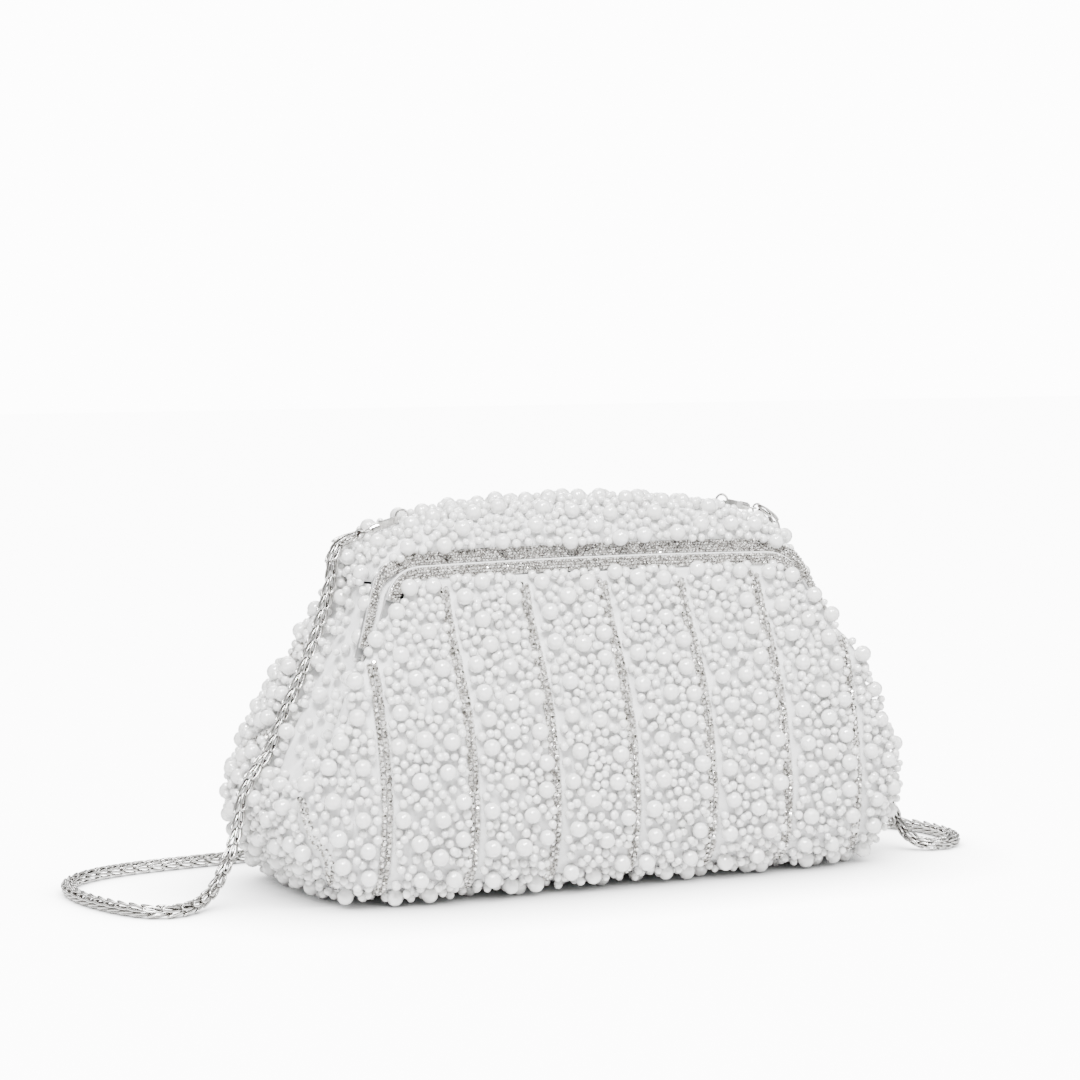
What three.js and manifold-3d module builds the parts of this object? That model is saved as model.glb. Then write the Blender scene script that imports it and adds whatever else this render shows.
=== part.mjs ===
// Beaded evening bag: a satin pouch on a nested pair of inverted-U frames, covered with sewn beads,
// trimmed with rhinestone cup chain along its seams and rhinestone bands round its mouth, with a
// wheat chain on two lobster clasps.
//
// Millimetres. +X is the bag's right, +Y its back, +Z up. The origin is on the floor, under the
// middle of the base.

import * as THREE from 'three';
import * as BufferGeometryUtils from 'three/addons/utils/BufferGeometryUtils.js';
import Module from 'manifold-3d';

const wasm = await Module();
wasm.setup();

// ---------------------------------------------------------------- driving dimensions

const BODY_WIDTH = 316; // satin shell where it is widest, low on the ends
const BODY_DEPTH = 129.4; // satin shell, belly to back
const RIM_HEIGHT = 142; // top edge of the front panel above the floor
const CROWN_RISE = 30.5; // how far the back half rises above that edge
// The hand-set places below were laid out on these sizes, and move with them.
const LAID_OUT = { width: 316, depth: 129.4, beads: 5.5, clasp: 14 };
const WIDE = BODY_WIDTH / LAID_OUT.width;
const DEEP = BODY_DEPTH / LAID_OUT.depth;
const CROWN_FRONT = -26 * DEEP; // front and back of the crown at the rim's height
const CROWN_BACK = 33 * DEEP;
const SKIRT_HEIGHT = 7.5; // where the panels turn under, above the floor

const CLOTH = 1.2; // satin with its interlining
const BEAD_LAYER = 5.5; // beads sewn on the satin
const SPARSE_BEADS = 3; // the pleated part of the gussets
const SEAM_GAP = 0.9; // from a panel's edge to the seam line
const GAP = 0.3; // between pieces that touch

const SEAM_PITCH = 41; // rhinestone seams across the bag
const SEAMS = 7;
const SEAM_WIDTH = 5.2; // two rows of cup chain side by side
const SEAM_HEIGHT = 2;
const SEAM_BED = 1.4; // satin and braid left under a seam's groove

const HINGE_Y = -37.5 * DEEP; // frame hinge line, along X
const HINGE_Z = 110;
const FRAME_TILT = THREE.MathUtils.degToRad(18); // the frame leans back from the hinge
const FRONT_LEG_X = 118 * WIDE; // half-width of the front frame at its hinge
const NEST = 5.5; // how much wider the back frame is at the hinge
const FRONT_BAR = {
  shoulderX: 107 * WIDE, shoulderQ: 25.2, topX: 92 * WIDE, topQ: 36.2, arch: 1.2, width: 5.6, thick: 2.2,
};
const BACK_BAR = {
  shoulderX: 112 * WIDE, shoulderQ: 29.4, topX: 90 * WIDE, topQ: 45.6, arch: 1.2, width: 6, thick: 2.2,
};
const FACING = 1.1; // satin facing on a frame bar
const FRONT_LIP = 1; // satin showing above the front band
const FRONT_BAND_WIDTH = 5.7;
const BACK_BAND_WIDTH = 6.6;
const BAND_HEIGHT = 1.5;
const LUG_RADIUS = 2.5;
const LUG_WIDTH = 2.2;
const PIN_RADIUS = 1;
const PIN_HEAD = 1.5;
const MAGNET = { length: 24, width: 4.4, thick: 1 };

const RING_RADIUS = 3.2; // strap ring, to the middle of its wire
const RING_WIRE = 0.6;
const CLASP_LENGTH = 14; // hook from its bow to its barrel
const CLASP_WIDTH = 7.4;
const CLASP_THICK = 3.2;
const LEVER_THICK = 1.6;
const EYE_RADIUS = 1.9;
const JUMP_RADIUS = 2.4;
const CHAIN_DIAMETER = 6;

const BOARD = { length: 256 * WIDE, width: 82 * DEEP, thick: 2 };
const LINING = 0.8;
const POCKET = { width: 150, firstRow: 5, lastRow: 10 };

// Where each clasp hangs: its ring's centre, how far it slopes down, and which side it is on.
const CLASPS = {
  left: { side: -1, ring: [-86.5 * WIDE, 0, 169.6], slope: THREE.MathUtils.degToRad(20) },
  right: { side: 1, ring: [86.5 * WIDE, 4, 171.6], slope: THREE.MathUtils.degToRad(12) },
};

// Middle line of the chain, from each clasp down the bag's end, over the floor and round to the back.
const CHAIN_ROUTES = {
  left: [
    [-110.4, 1.7, 161.4], [-116.7, 1.7, 158.6], [-120.6, 1.6, 152], [-121.5, 1.4, 143], [-124, 1.2, 134],
    [-127, 0.8, 124.5], [-131, 0.2, 114.5], [-135, -0.4, 105], [-139.6, -0.8, 95.5], [-144.8, -1, 85.5],
    [-149, -1, 75.5], [-154, -0.8, 65.5], [-161.8, -0.8, 55.5], [-166.8, -1.2, 45.5], [-169, -2.4, 36],
    [-172.6, -4.6, 26.5], [-178, -8, 17.2], [-184.6, -12.6, 9.4], [-193, -19, 4.8], [-202, -26, 3.3],
    [-211.5, -30, 3.2], [-221, -26.4, 3.2], [-228.4, -14, 3.2], [-233.6, 4, 3.2], [-235.8, 24, 3.2],
    [-233.4, 44, 3.2], [-224.6, 61, 3.2], [-209.6, 73, 3.2], [-190, 80.4, 3.2], [-166, 84, 3.2],
    [-140, 86.4, 3.2], [-112, 89, 3.2], [-84, 92, 3.2], [-56, 94, 3.2], [-28, 95, 3.2], [-0.15, 95.4, 3.2],
  ],
  right: [
    [111, 5.7, 166.2], [115.6, 6.2, 162.6], [119.4, 6.8, 155], [122.4, 7, 146], [125.6, 6.8, 136],
    [130.2, 6.2, 126], [135.6, 5.4, 115.5], [141.4, 4.4, 105], [147.4, 3.2, 94.5], [153, 1.8, 84],
    [157.8, 0.2, 73.5], [161.6, -1.6, 63.5], [165.2, -3.8, 54], [167.6, -6.4, 45], [169.4, -9.4, 36.5],
    [170.8, -13, 28], [171.8, -17.6, 19.6], [172.6, -23.8, 11.8], [174.4, -31, 6], [179.4, -37, 3.5],
    [188, -39.2, 3.2], [197.6, -34, 3.2], [204.4, -22.4, 3.2], [207.8, -6, 3.2], [206.6, 11, 3.2],
    [200.2, 27, 3.2], [190, 42.6, 3.2], [177, 57.6, 3.2], [161, 71, 3.2], [142, 81, 3.2], [120, 87, 3.2],
    [96, 90, 3.2], [72, 91.6, 3.2], [48, 93, 3.2], [24, 94.6, 3.2], [0.15, 95.4, 3.2],
  ],
};

// ---------------------------------------------------------------- outlines

// Each row is a height as a share of the rim's height, and a share of the half-width or half-depth there.
const HALF_WIDTHS = [
  [0.046, 0.874], [0.085, 0.905], [0.14, 0.945], [0.2, 0.978], [0.28, 1], [0.35, 0.992], [0.42, 0.968],
  [0.56, 0.918], [0.75, 0.829], [0.88, 0.76], [1, 0.709],
];
const DEPTHS = [
  [0.046, 0.757], [0.063, 0.86], [0.113, 0.943], [0.169, 0.974], [0.24, 0.996], [0.3, 1], [0.38, 0.974],
  [0.458, 0.943], [0.535, 0.903], [0.61, 0.85], [0.683, 0.785], [0.76, 0.711], [0.835, 0.63],
  [0.915, 0.557], [1, 0.487],
];
// How square the plan is at each height: the exponent of its superellipse.
const FRONT_SQUARENESS = [[0.046, 8], [0.14, 5.6], [0.28, 4.8], [0.42, 5.3], [0.6, 7], [0.76, 16], [1, 18]];
const BACK_SQUARENESS = [[0.046, 8], [0.14, 5.6], [0.28, 4.6], [0.6, 4.4], [1, 4]];
const CROWN_FRONT_SQUARENESS = 8;
const CROWN_ROUNDNESS = 2.4;
// Where the front and back panels meet the gussets, in Y.
const FRONT_SEAM = [[0.05, -37], [0.21, -38.5], [0.35, -39], [0.5, -47], [0.63, -46.5], [0.75, -43.5]];
const BACK_SEAM = [
  [0.05, 37], [0.21, 38], [0.32, 34], [0.42, 20], [0.5, 14], [0.64, 14], [0.79, 16], [1, 4],
];
// Half-width of the front panel beside the frame.
const SHOULDER_WIDTHS = [
  [0.75, 128.5], [0.79, 123.6], [0.88, 114.6], [0.92, 108.5],
  [0.94, 103.4], [0.96, 101], [0.98, 96], [1, 86],
];
// The gusset folds in along two pleats: how deep, and where each fold lies in Y.
const FRONT_PLEAT = {
  depths: [[0.34, 0], [0.41, 8], [0.53, 13], [0.7, 13], [0.79, 9], [1, 4]], y: -30 * DEEP, spread: 9,
};
const BACK_PLEAT = {
  depths: [[0.34, 0], [0.41, 5], [0.5, 8.5], [0.7, 6.5], [0.85, 3], [1, 0]], y: -1.5 * DEEP, spread: 6.5,
};

/** Reads a table of [place, value] rows with a smooth curve through them. */
function table(rows, place) {
  const last = rows.length - 1;
  if (place <= rows[0][0]) return rows[0][1];
  if (place >= rows[last][0]) return rows[last][1];
  let i = 0;
  while (place > rows[i + 1][0]) i += 1;
  const slope = (k) => {
    if (k < 0 || k >= last) return null;
    return (rows[k + 1][1] - rows[k][1]) / (rows[k + 1][0] - rows[k][0]);
  };
  const tangent = (before, after) => {
    if (before === null) return after;
    if (after === null) return before;
    return before * after <= 0 ? 0 : (2 * before * after) / (before + after);
  };
  const width = rows[i + 1][0] - rows[i][0];
  const t = (place - rows[i][0]) / width;
  const startTangent = tangent(slope(i - 1), slope(i)) * width;
  const endTangent = tangent(slope(i), slope(i + 1)) * width;
  const rise = rows[i + 1][1] - rows[i][1];
  const bend = startTangent + endTangent - 2 * rise;
  const curve = startTangent + t * (3 * rise - 2 * startTangent - endTangent + t * bend);
  return rows[i][1] + t * curve;
}

const share = (z) => z / RIM_HEIGHT;
const seamY = (rows, z) => table(rows, share(z)) * DEEP;
const halfWidth = (z) => (BODY_WIDTH / 2) * table(HALF_WIDTHS, share(z));
const halfDepth = (z) => (BODY_DEPTH / 2) * table(DEPTHS, share(z));
const CROWN_MIDDLE = (CROWN_FRONT + CROWN_BACK) / 2;
const CROWN_HALF = (CROWN_BACK - CROWN_FRONT) / 2;

// Where the back panel's columns turn from steps in X to steps in Y, and how far out in X that is.
const TURN = 0.84;
const TURN_X = 0.93;

/** The other coordinate of a superellipse of unit size. */
function unitArc(across, power) {
  return Math.pow(Math.max(0, 1 - Math.pow(Math.min(1, Math.abs(across)), power)), 1 / power);
}

/** Half-width of the plan at a height, at a place in Y. */
function sideX(y, z) {
  const power = table(y < 0 ? FRONT_SQUARENESS : BACK_SQUARENESS, share(z));
  return halfWidth(z) * unitArc(y / halfDepth(z), power);
}

/** Half-width at which the front panel ends. */
function frontEdge(z) {
  if (share(z) >= SHOULDER_WIDTHS[0][0]) return table(SHOULDER_WIDTHS, share(z)) * WIDE;
  return Math.min(sideX(seamY(FRONT_SEAM, z), z), halfWidth(z) * 0.985);
}

/** Half-width at which the back panel ends. */
const backEdge = (z) => sideX(seamY(BACK_SEAM, z), z);

/** A point of the front panel's satin: across runs from -1 to 1. */
function frontPoint(across, z) {
  const x = across * frontEdge(z);
  const power = table(FRONT_SQUARENESS, share(z));
  return new THREE.Vector3(x, -halfDepth(z) * unitArc(x / halfWidth(z), power), z);
}

/** The back's satin below the crown, at a place in X. */
function backAt(x, z) {
  const power = table(BACK_SQUARENESS, share(z));
  return new THREE.Vector3(x, halfDepth(z) * unitArc(x / halfWidth(z), power), z);
}

/**
 * The same for across from -1 to 1.
 * It steps in X as far as TURN, and in Y from there round the corner to the seam.
 */
function backPoint(across, z) {
  const side = Math.sign(across);
  const far = Math.abs(across);
  if (far <= TURN) return backAt(((side * far) / TURN) * TURN_X * halfWidth(z), z);
  const corner = backAt(TURN_X * halfWidth(z), z).y;
  const seam = seamY(BACK_SEAM, z) + SEAM_GAP;
  const y = THREE.MathUtils.lerp(corner, seam, (far - TURN) / (1 - TURN));
  return new THREE.Vector3(side * sideX(y, z), y, z);
}

/** A point of the crown: along runs from 0 at the back to 1 at the front, over the top. */
function crownAt(x, along) {
  const backPower = table(BACK_SQUARENESS, 1);
  const across = x / halfWidth(RIM_HEIGHT);
  const back = CROWN_MIDDLE + CROWN_HALF * unitArc(across, backPower);
  const front = CROWN_MIDDLE - CROWN_HALF * unitArc(across, CROWN_FRONT_SQUARENESS);
  const y = THREE.MathUtils.lerp(back, front, along);
  const power = y > CROWN_MIDDLE ? backPower : CROWN_FRONT_SQUARENESS;
  const sideways = Math.pow(Math.abs(across), power);
  const radial = Math.pow(sideways + Math.pow(Math.abs(y - CROWN_MIDDLE) / CROWN_HALF, power), 1 / power);
  return new THREE.Vector3(x, y, RIM_HEIGHT + CROWN_RISE * unitArc(radial, CROWN_ROUNDNESS));
}

/** A point of a gusset's satin, on the +X end: y runs from the front seam to the back seam. */
function gussetPoint(y, z) {
  const fold = (pleat) => table(pleat.depths, share(z)) * Math.exp(-(((y - pleat.y) / pleat.spread) ** 2));
  return new THREE.Vector3(sideX(y, z) - fold(FRONT_PLEAT) - fold(BACK_PLEAT), y, z);
}

/** The frame's plane at a height: the Y of a point that stands n behind the plane of the hinge line. */
function frameY(z, n) {
  return HINGE_Y + (z - HINGE_Z) * Math.tan(FRAME_TILT) + n / Math.cos(FRAME_TILT);
}

// ---------------------------------------------------------------- solids from surfaces

/** Splits the stretch from low to high into equal steps. */
function steps(low, high, count) {
  return Array.from({ length: count + 1 }, (unused, i) => low + ((high - low) * i) / count);
}

/** Turns the grid of points around when its faces would point inwards. */
function facingOut(geometry) {
  const position = geometry.getAttribute('position');
  const index = geometry.getIndex();
  const [a, b, c] = [new THREE.Vector3(), new THREE.Vector3(), new THREE.Vector3()];
  let volume = 0;
  for (let i = 0; i < index.count; i += 3) {
    a.fromBufferAttribute(position, index.getX(i));
    b.fromBufferAttribute(position, index.getX(i + 1));
    c.fromBufferAttribute(position, index.getX(i + 2));
    volume += a.dot(b.cross(c));
  }
  if (volume > 0) return geometry;
  const turned = Array.from(index.array);
  for (let i = 0; i < turned.length; i += 3) [turned[i], turned[i + 1]] = [turned[i + 1], turned[i]];
  geometry.setIndex(turned);
  return geometry;
}

/**
 * A closed solid either side of a surface.
 * surface(u, v) gives its points, low and high are how far the solid reaches along the normal on each side,
 * and outward(point) is a direction that the normal has to agree with.
 */
function shell(surface, us, vs, low, high, outward) {
  const normalAt = (u, v) => {
    const du = (us[us.length - 1] - us[0]) * 1e-3;
    const dv = (vs[vs.length - 1] - vs[0]) * 1e-3;
    const alongU = surface(Math.min(u + du, us[us.length - 1]), v).sub(surface(Math.max(u - du, us[0]), v));
    const alongV = surface(u, Math.min(v + dv, vs[vs.length - 1])).sub(surface(u, Math.max(v - dv, vs[0])));
    const normal = alongU.cross(alongV).normalize();
    return normal.dot(outward(surface(u, v))) < 0 ? normal.negate() : normal;
  };
  const points = [];
  const level = (distance) =>
    us.map((u) =>
      vs.map((v) => {
        const far = typeof distance === 'function' ? distance(u, v) : distance;
        points.push(surface(u, v).addScaledVector(normalAt(u, v), far));
        return points.length - 1;
      }),
    );
  const outer = level(high);
  const inner = level(low);
  const index = [];
  const quad = (a, b, c, d) => index.push(a, b, c, a, c, d);
  const lastU = us.length - 1;
  const lastV = vs.length - 1;
  for (let i = 0; i < lastU; i += 1) {
    for (let j = 0; j < lastV; j += 1) {
      quad(outer[i][j], outer[i + 1][j], outer[i + 1][j + 1], outer[i][j + 1]);
      quad(inner[i][j], inner[i][j + 1], inner[i + 1][j + 1], inner[i + 1][j]);
    }
    quad(inner[i][0], inner[i + 1][0], outer[i + 1][0], outer[i][0]);
    quad(outer[i][lastV], outer[i + 1][lastV], inner[i + 1][lastV], inner[i][lastV]);
  }
  for (let j = 0; j < lastV; j += 1) {
    quad(inner[0][j], outer[0][j], outer[0][j + 1], inner[0][j + 1]);
    quad(outer[lastU][j], inner[lastU][j], inner[lastU][j + 1], outer[lastU][j + 1]);
  }
  const geometry = new THREE.BufferGeometry();
  geometry.setAttribute('position', new THREE.Float32BufferAttribute(points.flatMap((p) => p.toArray()), 3));
  geometry.setIndex(index);
  return facingOut(geometry);
}

// ---------------------------------------------------------------- joining and cutting

/** A geometry as a solid that can be joined and cut. */
function solid(geometry) {
  const plain = geometry.clone();
  plain.deleteAttribute('normal');
  plain.deleteAttribute('uv');
  const merged = BufferGeometryUtils.mergeVertices(plain, 1e-4);
  return new wasm.Manifold(
    new wasm.Mesh({
      numProp: 3,
      vertProperties: Float32Array.from(merged.getAttribute('position').array),
      triVerts: Uint32Array.from(merged.getIndex().array),
    }),
  );
}

/** A solid back as a geometry. */
function geometryOf(manifold) {
  const mesh = manifold.getMesh();
  const geometry = new THREE.BufferGeometry();
  geometry.setAttribute('position', new THREE.Float32BufferAttribute(mesh.vertProperties, 3));
  geometry.setIndex(Array.from(mesh.triVerts));
  return geometry;
}

const join = (first, ...others) =>
  geometryOf(others.reduce((sum, other) => sum.add(solid(other)), solid(first)));

/** A body with tools cut out of it; crumbs that a cut leaves at an edge are dropped. */
function cut(body, ...tools) {
  const rest = tools.reduce((left, tool) => left.subtract(solid(tool)), solid(body));
  return geometryOf(rest.decompose().sort((a, b) => b.volume() - a.volume())[0]);
}

// ---------------------------------------------------------------- finishes and the scene

const FINISHES = {
  beads: { color: 0xf1f0ee, roughness: 0.35, metalness: 0 },
  satin: { color: 0xe9e8e6, roughness: 0.5, metalness: 0 },
  lining: { color: 0xdedcd8, roughness: 0.7, metalness: 0 },
  rhinestone: { color: 0xc9c7c2, roughness: 0.2, metalness: 0.7 },
  silver: { color: 0xc4c3c1, roughness: 0.25, metalness: 1 },
  steel: { color: 0x9a9a9a, roughness: 0.45, metalness: 1 },
  board: { color: 0xb9b2a5, roughness: 0.9, metalness: 0 },
};

const group = new THREE.Group();

/** Adds a named piece with its own material to a group. */
function piece(name, geometry, finish, parent = group) {
  const mesh = new THREE.Mesh(geometry, new THREE.MeshStandardMaterial(FINISHES[finish]));
  mesh.name = name;
  parent.add(mesh);
  return mesh;
}

const box = (x0, x1, y0, y1, z0, z1) => {
  const geometry = new THREE.BoxGeometry(x1 - x0, y1 - y0, z1 - z0);
  return geometry.translate((x0 + x1) / 2, (y0 + y1) / 2, (z0 + z1) / 2);
};

// ---------------------------------------------------------------- pouch

const SEAM_INDEXES = Array.from({ length: SEAMS }, (unused, i) => i - (SEAMS - 1) / 2);
// How far the back panel reaches over the crown towards the frame, at each distance from the middle.
const CROWN_EDGE = [[78, 0.938], [92, 0.938], [102, 0.93], [112, 0.93]];
const crownEdge = (x) => table(CROWN_EDGE, Math.abs(x) / WIDE);
const BACK_SEAM_REACH = 1.18; // where the back's seams end, just over the crown's back edge
const LOW = SKIRT_HEIGHT;

/** Heights of a panel's rows, closer together where the panel turns under. */
const ROWS = [LOW, 10, 14, 20, 28, 38, 50, 62, 76, 90, 104, 118, 130];
const FRONT_TOP = RIM_HEIGHT + 0.8;
const FRONT_ROWS = [...ROWS, 134.5, 138.5, FRONT_TOP];
const CROWN_ROWS = [1.06, 1.14, 1.24, 1.36, 1.5, 1.64, 1.78, 1.88, 1.95, 2];
const BACK_ROWS = [...ROWS.map((z) => (z - LOW) / (RIM_HEIGHT - LOW)), 1, ...CROWN_ROWS];
const FRONT_COLUMNS = steps(-1, 1, 16);
const BACK_COLUMNS = [-1, -0.95, -0.9, ...steps(-TURN, TURN, 12), 0.9, 0.95, 1];

/** Rows of a strip that lies on a panel: the panel's own, cut off at both ends. */
const rowsBetween = (rows, low, high) => {
  const within = rows.filter((row) => row > low + 1e-6 && row < high - 1e-6);
  return [low, ...within, high];
};

/** The back panel in one stretch: v from 0 to 1 climbs the back, and from 1 to 2 crosses the crown. */
function backSurface(across, v) {
  if (v <= 1) return backPoint(across, THREE.MathUtils.lerp(LOW, RIM_HEIGHT, v));
  const { x } = backPoint(across, RIM_HEIGHT);
  return crownAt(x, (v - 1) * crownEdge(x));
}

/** The crown's ends hang over the gussets, so the direction out of the pouch is measured from its middle. */
const outOfPouch = (point) => new THREE.Vector3(point.x * 0.3, point.y, (point.z - RIM_HEIGHT * 0.6) * 0.5);
const outForward = () => new THREE.Vector3(0, -1, 0);
const outBackward = () => new THREE.Vector3(0, 1, 0);

/** The satin along a seam: offset runs across the seam. */
const frontSeamSurface = (x) => (offset, z) => frontPoint((x + offset) / frontEdge(z), z);
const backSeamSurface = (x) => (offset, v) => {
  const z = THREE.MathUtils.lerp(LOW, RIM_HEIGHT, Math.min(v, 1));
  return v <= 1 ? backAt(x + offset, z) : crownAt(x + offset, (v - 1) * crownEdge(x + offset));
};
const frontSatin = (across, z) => frontPoint(across * (1 - SEAM_GAP / frontEdge(z)), z);

/** The height at which a vertical seam runs off the panel's edge, or the panel's top. */
function seamTop(x, edge, top, margin) {
  let z = top;
  while (z > LOW && edge(z) < Math.abs(x) + SEAM_WIDTH / 2 + margin) z -= 1;
  return z;
}

// Short seams round the pouch's lower corners and over its ends towards the back, as [y, z] on the +X end.
const END_SEAMS = {
  corner_chain: [[-40, 10], [-45, 18], [-47.5, 25], [-44.5, 33], [-42.5, 43], [-38, 51]],
  end_chain_low: [[42, 60], [24, 66.5], [6.5, 73]],
  end_chain_high: [[28, 102], [20, 107.5], [11, 113]],
};

/** A short seam's surface: offset runs across it, and along runs from 0 to 1. */
function endSeamSurface(line) {
  const route = new THREE.CatmullRomCurve3(line.map(([y, z]) => new THREE.Vector3(0, y * DEEP, z)));
  return (offset, along) => {
    const point = route.getPoint(along);
    const run = route.getTangent(along);
    return gussetPoint(point.y - run.z * offset, point.z + run.y * offset);
  };
}

const outSideways = () => new THREE.Vector3(1, 0, 0);
const mirrored = (geometry) => facingOut(geometry.clone().scale(-1, 1, 1));

/** Grooves of the short seams on the +X end. */
function endGrooves() {
  const half = SEAM_WIDTH / 2 + GAP;
  return Object.values(END_SEAMS).map((line) =>
    shell(endSeamSurface(line), [-half, half], steps(0, 1, 10), SEAM_BED, 12, outSideways),
  );
}

function endSeams() {
  const half = SEAM_WIDTH / 2;
  const bed = SEAM_BED + GAP;
  for (const [name, line] of Object.entries(END_SEAMS)) {
    const along = rowsBetween(steps(0, 1, 10), 0.03, 0.97);
    const chain = shell(endSeamSurface(line), [-half, half], along, bed, bed + SEAM_HEIGHT, outSideways);
    piece(`${name}_right`, chain, 'rhinestone');
    piece(`${name}_left`, mirrored(chain), 'rhinestone');
  }
}

function pouch() {
  const half = SEAM_WIDTH / 2;
  const bed = SEAM_BED + GAP;
  const frontGrooves = [];
  const backGrooves = [];
  SEAM_INDEXES.forEach((place, number) => {
    const x = place * SEAM_PITCH;
    const wide = [-half - GAP, half + GAP];
    const frontSeam = frontSeamSurface(x);
    const frontLimit = seamTop(x, frontEdge, FRONT_TOP, GAP);
    const frontRoom = rowsBetween(FRONT_ROWS, LOW - 1, frontLimit + 2);
    const frontStrip = rowsBetween(FRONT_ROWS, LOW, frontLimit);
    frontGrooves.push(shell(frontSeam, wide, frontRoom, SEAM_BED, 12, outForward));
    const frontChain = shell(frontSeam, [-half, half], frontStrip, bed, bed + SEAM_HEIGHT, outForward);
    piece(`seam_chain_front_${number + 1}`, frontChain, 'rhinestone');

    const backSeam = backSeamSurface(x);
    const climb = (seamTop(x, backEdge, RIM_HEIGHT, 3) - LOW) / (RIM_HEIGHT - LOW);
    const backLimit = climb > 0.99 ? BACK_SEAM_REACH : climb;
    const backRoom = rowsBetween(BACK_ROWS, -0.006, backLimit + 0.015);
    const backStrip = rowsBetween(BACK_ROWS, 0, backLimit);
    backGrooves.push(shell(backSeam, wide, backRoom, SEAM_BED, 12, outBackward));
    const backChain = shell(backSeam, [-half, half], backStrip, bed, bed + SEAM_HEIGHT, outBackward);
    piece(`seam_chain_back_${number + 1}`, backChain, 'rhinestone');
  });
  const front = shell(frontSatin, FRONT_COLUMNS, FRONT_ROWS, -CLOTH, BEAD_LAYER, outForward);
  const back = shell(backSurface, BACK_COLUMNS, BACK_ROWS, -CLOTH, BEAD_LAYER, outOfPouch);
  const ends = endGrooves().flatMap((groove) => [groove, mirrored(groove)]);
  piece('front_panel', cut(front, ...frontGrooves, ...ends), 'beads');
  piece('back_panel', cut(back, ...backGrooves, ...ends, ...claspPockets()), 'beads');
}

/** Room in the beads for each clasp and its ring. */
function claspPockets() {
  return Object.values(CLASPS).flatMap((clasp) => {
    const rest = box(-5, 30, -8, 8, -CLASP_THICK / 2 - GAP * 2, 20);
    const tail = box(16, 34, -5, 5, -JUMP_RADIUS - 1.4, 20);
    const well = box(-6, 5, -4, 4, -RING_RADIUS - RING_WIRE - GAP, 20);
    const [x, y, z] = clasp.ring;
    const slope = new THREE.Matrix4().makeRotationY(clasp.slope);
    const mirror = new THREE.Matrix4().makeRotationZ(clasp.side < 0 ? Math.PI : 0);
    const place = new THREE.Matrix4().makeTranslation(x, y, z);
    for (const room of [rest, tail]) room.applyMatrix4(slope).applyMatrix4(mirror).applyMatrix4(place);
    well.applyMatrix4(place);
    return [rest, tail, well];
  });
}

function gussets() {
  const top = RIM_HEIGHT - 1;
  const heights = [LOW, 11, 17, 26, 38, 48, 54, 60, 68, 78, 90, 100, 107, 113, 122, 132, top];
  const frontOf = (z) => {
    const seam = seamY(FRONT_SEAM, z);
    if (z <= FRONT_SEAM[FRONT_SEAM.length - 1][0] * RIM_HEIGHT) return seam + SEAM_GAP;
    const behindFrame = frameY(z, BACK_BAR.thick + FACING + 1.4);
    return THREE.MathUtils.lerp(seam, behindFrame, THREE.MathUtils.smoothstep(z, 98, 106)) + SEAM_GAP;
  };
  const surface = (t, z) => {
    const back = seamY(BACK_SEAM, z) - SEAM_GAP;
    return gussetPoint(THREE.MathUtils.lerp(frontOf(z), back, t), z);
  };
  const thin = (z) => THREE.MathUtils.smoothstep(z, 40, 60);
  const thickness = (t, z) => THREE.MathUtils.lerp(BEAD_LAYER, SPARSE_BEADS, thin(z));
  const whole = shell(surface, steps(0, 1, 14), heights, -CLOTH, thickness, outSideways);
  const right = cut(whole, ...endGrooves());
  piece('gusset_right', right, 'beads');
  piece('gusset_left', mirrored(right), 'beads');
}

/** A flat plate with a superellipse outline. */
function plate(halfX, halfY, power, low, high) {
  const shape = new THREE.Shape();
  const corner = (angle) => [
    halfX * Math.sign(Math.cos(angle)) * Math.abs(Math.cos(angle)) ** (2 / power),
    halfY * Math.sign(Math.sin(angle)) * Math.abs(Math.sin(angle)) ** (2 / power),
  ];
  const sides = 40;
  for (let i = 0; i < sides; i += 1) {
    const [x, y] = corner(((i + 0.5) / sides) * Math.PI * 2);
    if (i === 0) shape.moveTo(x, y);
    else shape.lineTo(x, y);
  }
  return new THREE.ExtrudeGeometry(shape, { depth: high - low, bevelEnabled: false }).translate(0, 0, low);
}

function base() {
  const inset = 6;
  const top = LOW - 1.9;
  piece('base_panel', plate(halfWidth(LOW) - inset, halfDepth(LOW) - inset, 7, 0, top), 'beads');
  const boardLow = top + GAP;
  const boardHigh = boardLow + BOARD.thick;
  piece('base_board', plate(BOARD.length / 2, BOARD.width / 2, 9, boardLow, boardHigh), 'board');
  const baseLow = boardHigh + GAP;
  piece('lining_base', plate(BOARD.length / 2, BOARD.width / 2, 9, baseLow, baseLow + 0.8), 'lining');
}

function lining() {
  const high = -CLOTH - GAP;
  const low = high - LINING;
  const columns = (all) => all.filter((u) => Math.abs(u) < 0.89);
  const frontRows = ROWS.slice(2, -2);
  const backRows = BACK_ROWS.filter((v) => v > 0.04 && v < 1);
  const front = shell(frontSatin, columns(FRONT_COLUMNS), frontRows, low, high, outForward);
  const back = shell(backSurface, columns(BACK_COLUMNS), backRows, low, high, outBackward);
  piece('lining_front', front, 'lining');
  piece('lining_back', back, 'lining');
  const pocketColumns = BACK_COLUMNS.filter((u) => Math.abs(u) * BODY_WIDTH < POCKET.width);
  const pocketRows = BACK_ROWS.slice(POCKET.firstRow, POCKET.lastRow + 1);
  const pocket = shell(backSurface, pocketColumns, pocketRows, low - GAP - LINING, low - GAP, outBackward);
  piece('slip_pocket', pocket, 'lining');
}

// ---------------------------------------------------------------- frame

// Frame pieces are drawn flat, X across and Y up the frame, and stand in this group,
// whose origin is the hinge line.
// Its Z points out of the front of the bag, so a piece that is n behind the hinge line is at z = -n.
const frame = new THREE.Group();
frame.position.set(0, HINGE_Y, HINGE_Z);
frame.rotation.x = Math.PI / 2 - FRAME_TILT;
group.add(frame);

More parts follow.
